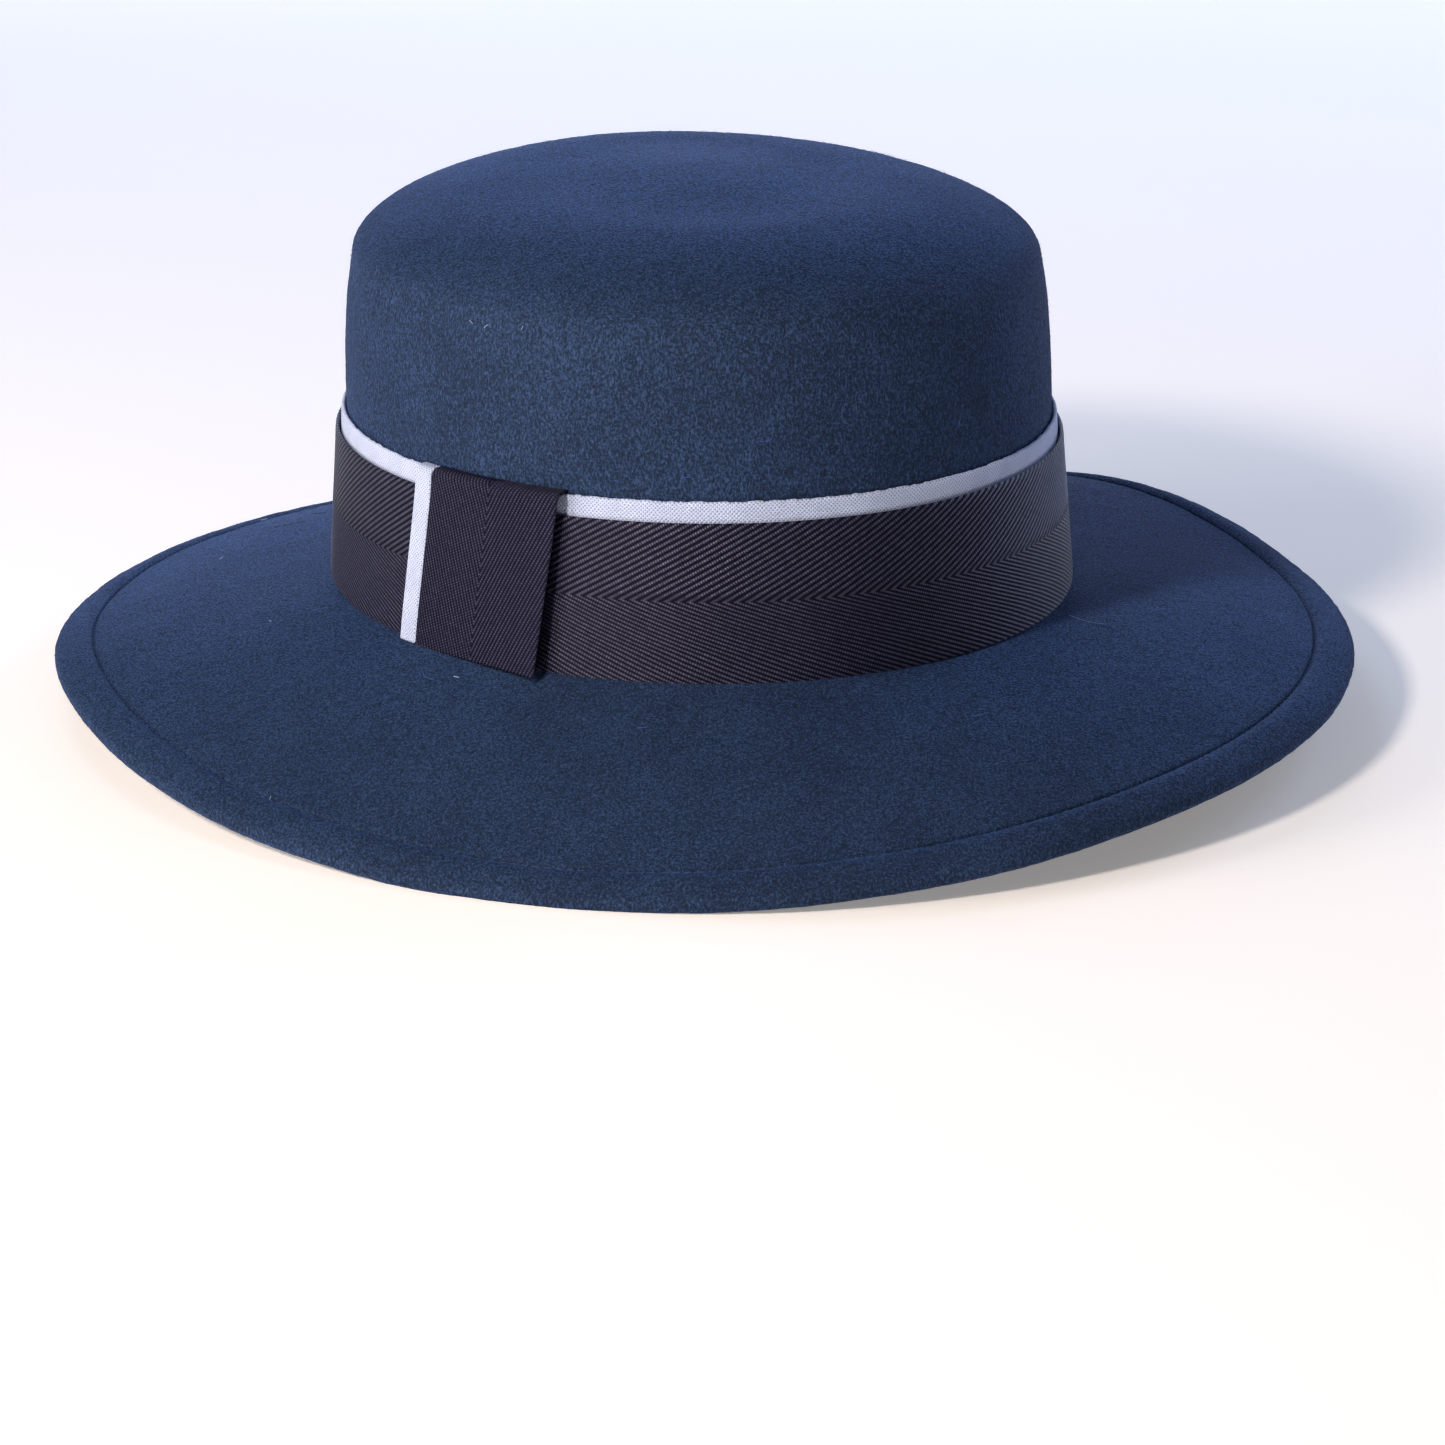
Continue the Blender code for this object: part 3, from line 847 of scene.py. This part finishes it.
def make_felt():
    """Crown and brim as one wall of felt, closed at both poles."""
    grid, nap = felt_grid()
    faces = grid_faces(len(grid), FELT_TURNS).tolist()
    vertices = grid.reshape(-1, 3).tolist()
    weights = nap.ravel().tolist()
    here = np.arange(FELT_TURNS)
    there = (here + 1) % FELT_TURNS
    for ring, flip in ((0, False), (len(grid) - 1, True)):
        middle = grid[ring].mean(axis=0)
        vertices.append(middle.tolist())
        weights.append(0.0)
        first, second = (there, here) if flip else (here, there)
        start = ring * FELT_TURNS
        faces += [(start + a, start + b, len(vertices) - 1) for a, b in zip(first.tolist(), second.tolist())]
    piece = new_piece("blocked_felt", vertices, faces)
    store(piece, "nap", weights)
    return piece


class HAT_OT_felt(bpy.types.Operator):
    """Makes the crown and brim of blocked felt"""

    bl_idname = "hat.felt"
    bl_label = "Blocked felt"

    def execute(self, context):
        felt = settings("hat_felt")
        piece = make_felt()
        fibres = run_group(piece, nap_tree(), {
            "Density": felt.fibres_per_cm2 * CM2_PER_M2, "Length": felt.fibre_length,
            "Width": felt.fibre_width, "Seed": felt.seed, "Material": felt_fibre(),
        }, "felt_nap")
        run_group(piece, uneven_felt_tree(), {"Unevenness": felt.unevenness, "Material": wool_felt()})
        for made in (piece, fibres):
            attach(made, "root")
        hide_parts("felt_body")
        return {"FINISHED"}


class HAT_OT_stitches(bpy.types.Operator):
    """Sews the row of stitches that holds the turned-under rim"""

    bl_idname = "hat.stitches"
    bl_label = "Rim stitches"

    def execute(self, context):
        stitch = settings("hat_stitch")
        turn = np.arange(FELT_TURNS) * FULL_TURN / FELT_TURNS
        brim = BrimSection(turn)
        groove = brim.share_from_rim(STITCH_INSET)
        # The thread's middle lies a third of its thickness above the bottom of the groove
        sunk = settings("hat_felt").groove - stitch.thread / 3
        line = SEAT.down(place(turn, *brim.upper(groove, sunk)))
        above = SEAT.down(place(turn, *brim.upper(groove, sunk - 1 * MM)))
        seam = new_piece("seam", line, edges=[(k, (k + 1) % FELT_TURNS) for k in range(FELT_TURNS)])
        store(seam, "up", above - line, "FLOAT_VECTOR")
        made = run_group(seam, stitch_tree(), {
            "Pitch": stitch.pitch, "Stitch Length": stitch.length, "Thread": stitch.thread,
            "Material": sewing_thread(),
        }, "rim_stitches")
        bpy.data.objects.remove(seam)
        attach(made, "root")
        return {"FINISHED"}


def band_outside(height):
    """How far out the band's outer face stands: a gap at the foot, and the tape as well near the top."""
    share = np.clip(height / (BAND_TOP - TAPE_WIDTH - RIBBON), 0, 1)
    return wall_out(height) + GAP + (TAPE + GAP) * share * (2 - share) + RIBBON


class Round:
    """The way round the crown at a distance out: lengths along it as turns, and turns as lengths."""

    FINE = np.linspace(0, FULL_TURN, 4097)

    def __init__(self, out):
        line = place(self.FINE, out, 0.0)
        steps = np.linalg.norm(np.diff(line, axis=0), axis=1)
        self.lengths = np.concatenate(((0.0,), np.cumsum(steps)))
        self.whole = self.lengths[-1]

    def turn(self, length):
        """The turn at a length along."""
        return np.interp(length % self.whole, self.lengths, self.FINE)

    def length(self, turn):
        """The length along at a turn."""
        return np.interp(turn % FULL_TURN, self.FINE, self.lengths)


def soft_edge(distance, thickness):
    """How far a ribbon's face draws in at a distance from its edge, so that the edge is round."""
    share = np.clip(1 - distance / thickness, 0, 1)
    return thickness / 2 * (1 - np.sqrt(1 - share**2))


def strip(name, outer, inner, cloth, whole=None):
    """A closed strip of cloth between two matching grids, with its threads counted in a UV map.

    Rows of the grids run across the strip and columns along it. cloth holds the count of wales or threads
    along, the count of threads the other way, and how much of the weave's relief shows. A strip that closes
    into a ring is given the whole count that it has along.
    """
    rows, columns = outer.shape[:2]
    count = rows * columns
    closed = whole is not None
    faces = grid_faces(rows, columns, 0, closed)
    back = grid_faces(rows, columns, count, closed)[:, ::-1]
    here = np.arange(columns if closed else columns - 1)
    there = (here + 1) % columns
    last = (rows - 1) * columns
    top = np.stack((here, there, there + count, here + count), axis=-1)
    bottom = np.stack((last + there, last + here, last + here + count, last + there + count), axis=-1)
    quads = [faces, back, top, bottom]
    if not closed:
        row = np.arange(rows - 1) * columns
        left = np.stack((row, row + count, row + columns + count, row + columns), axis=-1)
        quads += [left, (left + columns - 1)[:, ::-1]]
    quads = np.concatenate(quads)
    piece = new_piece(name, np.concatenate((outer.reshape(-1, 3), inner.reshape(-1, 3))), quads.tolist())
    hidden = cloth * (1, 1, 0)
    pattern = np.concatenate((cloth.reshape(-1, 3), hidden.reshape(-1, 3)))
    store(piece, "cloth", pattern, "FLOAT_VECTOR")
    spots = pattern[quads.ravel(), :2].copy()
    if closed:
        # The faces that close the ring go on counting instead of starting again
        first_column = (quads % columns == 0) & np.any(quads % columns == columns - 1, axis=1, keepdims=True)
        spots[first_column.ravel(), 0] += whole
    layer = piece.data.uv_layers.new(name="cloth")
    layer.data.foreach_set("uv", spots.astype(np.float32).ravel())
    return piece


# How finely the ribbons are drawn: columns along them, or to each wale, and rows across or down them
WALE_COLUMNS = 6
BAND_ROWS = 27
TAPE_COLUMNS = 1100
TAPE_ROWS = 12
KEEPER_COLUMNS = 150
KEEPER_ROWS = 96
EDGING_COLUMNS = 24
FOLD_ROWS = 10
BACK_ROWS = 4

# The cloth itself: its thickness, the share of the band's width to the first row inside its edge, how far in
# from its edges the wales reach their height, and how far up from the brim a ribbon's foot is fitted to it
RIBBON_CLOTH = 0.8 * MM
EDGE_SHARE = 0.012
SELVEDGE = 1.2 * MM
FOOT_REACH = 6 * MM

# The tape's upper edge wanders from one of these knots to the next
FRAY_KNOTS = 997
FRAY_PITCH = 1.1 * MM
FRAY_SEED = 3

# The keeper: its cloth, the round of its fold, the height of it and of its white edge, how far its right-hand
# side stands off at the fold and how much more at the foot, and how much of its relief shows
KEEPER_CLOTH = 0.7 * MM
FOLD_RADIUS = 1.7 * MM
KEEPER_TOP = BAND_TOP + 0.8 * MM
EDGING_TOP = BAND_TOP + 0.6 * MM
STAND_OFF = 1.7 * MM
FOOT_FLARE = 2.2 * MM
KEEPER_RELIEF = 0.7


def twill(piece, cloth):
    """Raises the wales on a ribbon, and gives it its cloth."""
    return run_group(piece, twill_tree(), {"Relief": settings("hat_ribbon").relief, "Material": cloth})


def fitted_foot(turn, out, height):
    """The drop of a ribbon's lower end as it follows the brim, 0 or less, which fades out at FOOT_REACH."""
    return BrimSection(turn).foot(out) * np.clip(1 - height / FOOT_REACH, 0, 1)


def twill_counts(along, across, pitch, rise):
    """Counts of wales and threads at a distance along a ribbon and across from its middle."""
    thread_pitch = settings("hat_ribbon").thread_pitch
    across = np.abs(across)
    wales = (along - across / np.tan(rise)) / pitch
    threads = (along * np.cos(rise) + across * np.sin(rise)) / thread_pitch
    return wales, threads


class HAT_OT_band(bpy.types.Operator):
    """Winds the herringbone ribbon round the crown"""

    bl_idname = "hat.band"
    bl_label = "Ribbon band"

    def execute(self, context):
        ribbon = settings("hat_ribbon")
        route = Round(band_outside(BAND_WIDTH / 2))
        # A whole number of wales goes round, and each column of the mesh follows one line of the twill
        wales = round(route.whole / ribbon.wale_pitch)
        columns = wales * WALE_COLUMNS
        shares = np.concatenate(((1,), np.linspace(1 - EDGE_SHARE, EDGE_SHARE, BAND_ROWS), (0,)))[:, None]
        heights = BAND_WIDTH * shares
        across = heights - BAND_WIDTH / 2
        rise = np.where(across > 0, ribbon.upper_rise, ribbon.lower_rise)
        # It starts and ends at the back of the head
        start = route.length(math.pi) + np.arange(columns)[None, :] * route.whole / columns
        along = start + np.abs(across) / np.tan(rise)
        turn = route.turn(along)
        inside = np.minimum(heights, BAND_WIDTH - heights)
        edge = soft_edge(inside, RIBBON_CLOTH)
        foot = fitted_foot(turn, band_outside(0.0), heights)
        outer = place(turn, band_outside(heights) - edge, heights + foot)
        inner = place(turn, band_outside(heights) - RIBBON_CLOTH + edge, heights + foot)
        counts = twill_counts(along, across, route.whole / wales, rise)
        shows = ease(inside, 0, SELVEDGE)
        cloth = np.stack(np.broadcast_arrays(*counts, shows), axis=-1)
        piece = strip("ribbon_wound", SEAT.down(outer), SEAT.down(inner), cloth, wales)
        piece = twill(piece, herringbone_ribbon("herringbone ribbon band", gleam=1.0, upright=False))
        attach(piece, "root")
        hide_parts("ribbon_band")
        return {"FINISHED"}


def fray(along):
    """A small wander of a woven edge, from -1 to 1."""
    knots = np.random.default_rng(FRAY_SEED).uniform(-1, 1, FRAY_KNOTS)
    count = np.asarray(along) / FRAY_PITCH
    low = np.floor(count).astype(int)
    part = ease(count - low, 0, 1)
    return knots[low % FRAY_KNOTS] * (1 - part) + knots[(low + 1) % FRAY_KNOTS] * part


class HAT_OT_tape(bpy.types.Operator):
    """Lays the white tape round the crown behind the band"""

    bl_idname = "hat.tape"
    bl_label = "White tape"

    def execute(self, context):
        tape = settings("hat_tape")
        route = Round(wall_out(BAND_WIDTH) + GAP + TAPE)
        along = route.length(math.pi) + np.arange(TAPE_COLUMNS)[None, :] * route.whole / TAPE_COLUMNS
        turn = route.turn(along)
        # Rows stand closer together at the edges, which are round
        shares = np.concatenate(((0, 0.02), np.linspace(0.06, 0.94, TAPE_ROWS), (0.98, 1)))[:, None]
        across = TAPE_WIDTH * (0.5 - shares)
        # Only its upper edge, which shows above the band, is ragged
        ragged = tape.fray * fray(along) * ease(0.5 - shares, 0.2, 0.5)
        heights = BAND_TOP - TAPE_WIDTH * shares + ragged
        edge = soft_edge(TAPE_WIDTH * np.minimum(shares, 1 - shares), TAPE)
        outer = place(turn, wall_out(heights) + GAP + TAPE - edge, heights)
        inner = place(turn, wall_out(heights) + GAP / 2 + edge, heights)
        # A whole number of threads goes round
        threads = round(route.whole / tape.thread_pitch)
        counts = (along * threads / route.whole, across / tape.thread_pitch)
        cloth = np.stack(np.broadcast_arrays(*counts, 0.0), axis=-1)
        piece = strip("tape_wound", SEAT.down(outer), SEAT.down(inner), cloth, threads)
        piece.data.materials.append(cotton_tape())
        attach(piece, "root")
        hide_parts("white_tape")
        return {"FINISHED"}


def stand_off(share, rising):
    """How far the keeper stands off the band at shares of its width and of its height."""
    return share**3 * (STAND_OFF + FOOT_FLARE * (1 - rising))


def lie_flat(share, rising):
    """The white edge lies flat on the band everywhere."""
    return 0 * share * rising


def keeper_grid(start, width, columns, lift, top):
    """Outer and inner grids of a ribbon folded over the band, and the distances along it and across it.

    Rows run from its tucked-in end over the fold to its foot. start and width are lengths round the band from
    the keeper's edge, and lift gives how far the ribbon stands off the band.
    """
    route = Round(band_outside(BAND_WIDTH / 2))
    share = np.linspace(0, 1, columns)[None, :]
    straight = route.turn(route.length(math.radians(KEEPER_EDGE)) + start + width * share)
    lean = math.radians(KEEPER_LEAN) / BAND_WIDTH
    back = np.linspace(0, 1, BACK_ROWS, endpoint=False)[:, None]
    bend = np.linspace(math.pi / 2, 0, FOLD_ROWS)[:, None]
    rising = np.linspace(1, 0, KEEPER_ROWS)[1:, None] * (top - FOLD_RADIUS)
    edge = soft_edge(np.minimum(share, 1 - share) * width, KEEPER_CLOTH)
    wall = wall_out(top) + GAP
    faces = []
    for radius, drawn_in in ((FOLD_RADIUS, edge), (FOLD_RADIUS - KEEPER_CLOTH, -edge)):
        # How far out the middle of the fold stands, and the front where it lies flush
        cover = GAP + KEEPER_CLOTH - drawn_in - FOLD_RADIUS
        fold_out = band_outside(BAND_WIDTH) + lift(share, 1.0) + cover
        flush = band_outside(np.minimum(rising, BAND_WIDTH)) + cover + radius
        front_up = rising + fitted_foot(straight + lean * rising, flush, rising)
        out = np.concatenate((
            wall + (fold_out - wall) * back,
            fold_out + radius * np.cos(bend),
            flush + lift(share, rising / top),
        ))
        up = np.concatenate((
            np.full((BACK_ROWS, columns), top - FOLD_RADIUS + radius),
            top - FOLD_RADIUS + radius * np.sin(bend) + 0 * share,
            front_up,
        ))
        faces.append((out, up))
    outer, inner = [SEAT.down(place(straight + lean * np.minimum(up, top), out, up)) for out, up in faces]
    steps = np.hypot(*(np.diff(part, axis=0) for part in faces[0]))
    passed = np.vstack((np.zeros((1, columns)), np.cumsum(steps, axis=0)))
    return outer, inner, passed[-1] - passed, width * (share - 0.5)


class HAT_OT_keeper(bpy.types.Operator):
    """Folds the ribbon keeper and its white edge over the band"""

    bl_idname = "hat.keeper"
    bl_label = "Keeper"

    def execute(self, context):
        ribbon = settings("hat_ribbon")
        outer, inner, along, across = keeper_grid(0.0, KEEPER_WIDTH, KEEPER_COLUMNS, stand_off, KEEPER_TOP)
        counts = twill_counts(along, across, ribbon.keeper_pitch, ribbon.keeper_rise)
        cloth = np.stack(np.broadcast_arrays(*counts, KEEPER_RELIEF), axis=-1)
        keeper = strip("keeper_ribbon", outer, inner, cloth)
        keeper = twill(keeper, herringbone_ribbon("herringbone ribbon keeper", gleam=0.35, upright=True))
        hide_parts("keeper")
        start = -GAP - KEEPER_TAPE_WIDTH
        pitch = settings("hat_tape").thread_pitch
        outer, inner, along, across = keeper_grid(
            start, KEEPER_TAPE_WIDTH, EDGING_COLUMNS, lie_flat, EDGING_TOP
        )
        cloth = np.stack(np.broadcast_arrays(along / pitch, across / pitch, 0.0), axis=-1)
        edge = strip("keeper_edging", outer, inner, cloth)
        edge.data.materials.append(bpy.data.materials["cotton tape"])
        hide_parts("keeper_tape")
        for piece in (keeper, edge):
            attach(piece, "root")
        return {"FINISHED"}


LINT = (
    # Surface, turn in degrees, distance up the crown or out along the brim, heading in degrees (0 up or out,
    # 90 on round the hat), length, bend in degrees, tone from 0 for dark to 1 for pale; lengths in mm
    ("brim", 302, 9, 75, 6.0, 60, 0.5),
    ("brim", 307, 8, 95, 1.6, 10, 1.0),
    ("brim", 214, 58, 60, 1.8, 20, 1.0),
    ("brim", 240, 33, 80, 1.6, 20, 0.9),
    ("brim", 272, 19, 100, 1.2, 0, 0.9),
    ("brim", 302, 60, 30, 1.2, 0, 0.8),
    ("brim", 225, 24, 20, 9.0, -70, 0.0),
    ("brim", 219, 31, 160, 8.0, 60, 0.0),
    ("brim", 51, 4, 10, 9.0, 50, 0.6),
    ("brim", 60, 20, 60, 7.0, -40, 0.55),
    ("brim", 16, 23, 80, 3.0, 30, 0.5),
    ("brim", 335, 16, 100, 2.5, 30, 0.5),
    ("crown", 304, 75, 120, 1.2, 0, 0.9),
    ("crown", 307, 74, 60, 1.6, 30, 0.8),
    ("crown", 314, 75, 20, 1.0, 0, 0.8),
    ("crown", 340, 45, 90, 2.2, 20, 0.5),
    ("crown", 352, 53, 80, 3.0, -20, 0.4),
    ("crown", 27, 50, 20, 2.2, 20, 0.5),
    ("crown", 20, 51, 100, 1.8, 0, 0.4),
)
LINT_THICKNESS = 0.12 * MM
LINT_GAP = 0.35 * MM
LINT_STEPS_PER_MM = 2


def lint_line(surface, turn, distance, heading, length, bend):
    """Points along one loose fibre, lying just off the felt."""
    turn, distance = math.radians(turn), distance * MM
    steps = max(2, round(length * LINT_STEPS_PER_MM))
    points = []
    for step in range(steps + 1):
        if surface == "brim":
            brim = BrimSection(turn)
            spot = place(turn, *brim.upper(distance / brim.length, -LINT_GAP))
        else:
            spot = place(turn, wall_out(distance) + LINT_GAP, distance)
        points.append(SEAT.down(spot).tolist())
        way = math.radians(heading + bend * (step / steps - 0.5))
        distance += math.cos(way) * length * MM / steps
        turn += math.sin(way) * length * MM / steps / (HEAD_LENGTH / 2 + distance * (surface == "brim"))
    return points


def lint_tree():
    """Draws round fibres along lines."""
    tree, given = node_group("lint", {"Thickness": "Float", "Material": "Material"})
    line = add(tree, "GeometryNodeMeshToCurve", {0: given["Geometry"]})
    radius = add(tree, MATH, {0: given["Thickness"], 1: 0.5}, operation="MULTIPLY")
    ring = add(tree, "GeometryNodeCurvePrimitiveCircle", {"Resolution": 5, "Radius": radius})
    tube = add(tree, "GeometryNodeCurveToMesh", {"Curve": line, "Profile Curve": ring, "Fill Caps": True})
    end_group(tree, tube, given["Material"])
    return tree


def stray_fibre():
    """Stray textile fibres: thin and dull, from near black to pale blue."""
    dark, middle, pale = linear("#0d111b"), linear("#3d57a6"), linear("#c6cdea")
    material, tree, shader = new_material("stray fibre")
    tone = add(tree, "ShaderNodeAttribute", attribute_name="tone").outputs["Fac"]
    lower = add(tree, MIX, {
        "Factor": add(tree, RANGE, {0: tone, 2: 0.5}), 6: (*dark, 1), 7: (*middle, 1),
    }, data_type="RGBA").outputs[2]
    colour = add(tree, MIX, {
        "Factor": add(tree, RANGE, {0: tone, 1: 0.5}), 6: lower, 7: (*pale, 1),
    }, data_type="RGBA").outputs[2]
    connect(tree, shader, {"Base Color": colour, "Roughness": 0.7, "Specular IOR Level": 0.3})
    return material


class HAT_OT_lint(bpy.types.Operator):
    """Drops a few stray fibres on the felt"""

    bl_idname = "hat.lint"
    bl_label = "Lint"

    def execute(self, context):
        vertices, edges, tones = [], [], []
        for *line, tone in LINT:
            points = lint_line(*line)
            edges += [(k, k + 1) for k in range(len(vertices), len(vertices) + len(points) - 1)]
            vertices += points
            tones += [tone] * len(points)
        lines = new_piece("lines", vertices, edges=edges)
        store(lines, "tone", tones)
        made = run_group(lines, lint_tree(), {"Thickness": LINT_THICKNESS, "Material": stray_fibre()}, "lint")
        bpy.data.objects.remove(lines)
        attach(made, "root")
        return {"FINISHED"}


# Where the camera looks at, and from where, in degrees: the photograph's angle
LOOK_AT = Vector((1.9, -12.6, -6.3)) * MM
LOOK_AZIMUTH = -15.09
LOOK_ELEVATION = 17.92
LOOK_ROLL = -0.45

LIGHTS = (
    # Name, setting for its power, azimuth and elevation in degrees, distance and size in metres, colour
    ("key softbox", "key_power", -50, 34, 1.5, 0.2, "#fff3e9"),
    ("side softbox", "side_power", -80, 13, 1.5, 0.8, "#fff3e9"),
    ("rim softbox", "rim_power", 118, 25, 1.5, 0.8, "#b4ccff"),
    ("back softbox", "back_power", 168, 13, 1.5, 0.8, "#b8ceff"),
    ("top softbox", "top_power", -160, 55, 1.5, 0.7, "#bcd4ff"),
)

# The floor's half width, and the backdrop: pale at the floor's level, and dim above
FLOOR_REACH = 8.0
BACKDROP_COLOUR = "#f0f5ff"
BACKDROP_STRENGTH = 0.85
BACKDROP_FADE = (0.05, 0.16)


def direction(azimuth, elevation):
    """The way from the hat towards an azimuth, 0 in front and 90 at +X, and an elevation, in degrees."""
    turn, rise = math.radians(azimuth), math.radians(elevation)
    return Vector((math.sin(turn) * math.cos(rise), -math.cos(turn) * math.cos(rise), math.sin(rise)))


class HAT_OT_stage(bpy.types.Operator):
    """Sets the pale floor and backdrop, the soft lights and the camera"""

    bl_idname = "hat.stage"
    bl_label = "Stage"

    def execute(self, context):
        stage = settings("hat_stage")
        scene = bpy.context.scene
        corners = [(x * FLOOR_REACH, y * FLOOR_REACH, 0) for x, y in ((-1, -1), (1, -1), (1, 1), (-1, 1))]
        new_piece("paper_floor", corners, [(0, 1, 2, 3)], material=paper_floor())
        for name, power, azimuth, elevation, distance, size, tint in LIGHTS:
            lamp = bpy.data.lights.new(name, "AREA")
            lamp.shape = "DISK"
            lamp.size = size
            lamp.energy = getattr(stage, power)
            lamp.color = linear(tint)
            light = bpy.data.objects.new(name, lamp)
            light.visible_camera = False
            light.location = direction(azimuth, elevation) * distance
            light.rotation_euler = (-light.location).to_track_quat("-Z", "Y").to_euler()
            scene.collection.objects.link(light)
        world = bpy.data.worlds.new("pale studio")
        world.use_nodes = True
        tree = world.node_tree
        # Bright light from overhead would take the shape out of the hat
        way = add(tree, "ShaderNodeTexCoord").outputs["Generated"]
        height = add(tree, "ShaderNodeSeparateXYZ", {0: way}).outputs[2]
        low, high = BACKDROP_FADE
        connect(tree, tree.nodes["Background"], {
            "Color": (*linear(BACKDROP_COLOUR), 1),
            "Strength": add(tree, RANGE, {0: height, 1: low, 2: high, 3: BACKDROP_STRENGTH, 4: stage.sky}),
        })
        scene.world = world
        scene.view_settings.view_transform = "Standard"
        data = bpy.data.cameras.new("camera")
        data.lens = stage.lens
        data.clip_start = 0.05
        data.clip_end = 50
        camera = bpy.data.objects.new("camera", data)
        back = direction(LOOK_AZIMUTH, LOOK_ELEVATION)
        level = (-back).to_track_quat("-Z", "Y").to_matrix()
        turned = level @ Matrix.Rotation(math.radians(LOOK_ROLL), 3, "Z")
        camera.matrix_world = Matrix.Translation(LOOK_AT + back * stage.distance) @ turned.to_4x4()
        scene.collection.objects.link(camera)
        scene.camera = camera
        return {"FINISHED"}


OPERATORS = (HAT_OT_stage, HAT_OT_felt, HAT_OT_stitches, HAT_OT_tape, HAT_OT_band, HAT_OT_keeper, HAT_OT_lint)


class HAT_PT_sidebar(bpy.types.Panel):
    """Lists the hat's pieces and their settings"""

    bl_idname = "HAT_PT_sidebar"
    bl_label = "Gaucho Hat"
    bl_space_type = "VIEW_3D"
    bl_region_type = "UI"
    bl_category = "Hat"

    def draw(self, context):
        for operator in OPERATORS:
            self.layout.operator(operator.bl_idname)
        for name, group in SETTINGS.items():
            box = self.layout.box()
            box.label(text=group.__doc__)
            for prop in group.__annotations__:
                box.prop(getattr(context.scene, name), prop)


CLASSES = (*SETTINGS.values(), *OPERATORS, HAT_PT_sidebar)


def register():
    for made in CLASSES:
        bpy.utils.register_class(made)
    for name, group in SETTINGS.items():
        setattr(bpy.types.Scene, name, PointerProperty(type=group))


def unregister():
    for name in SETTINGS:
        delattr(bpy.types.Scene, name)
    for made in reversed(CLASSES):
        bpy.utils.unregister_class(made)


def main():
    register()
    bpy.ops.hat.stage()
    bpy.ops.hat.felt()
    bpy.ops.hat.stitches()
    bpy.ops.hat.tape()
    bpy.ops.hat.band()
    bpy.ops.hat.keeper()
    bpy.ops.hat.lint()


if __name__ == "__main__":
    main()
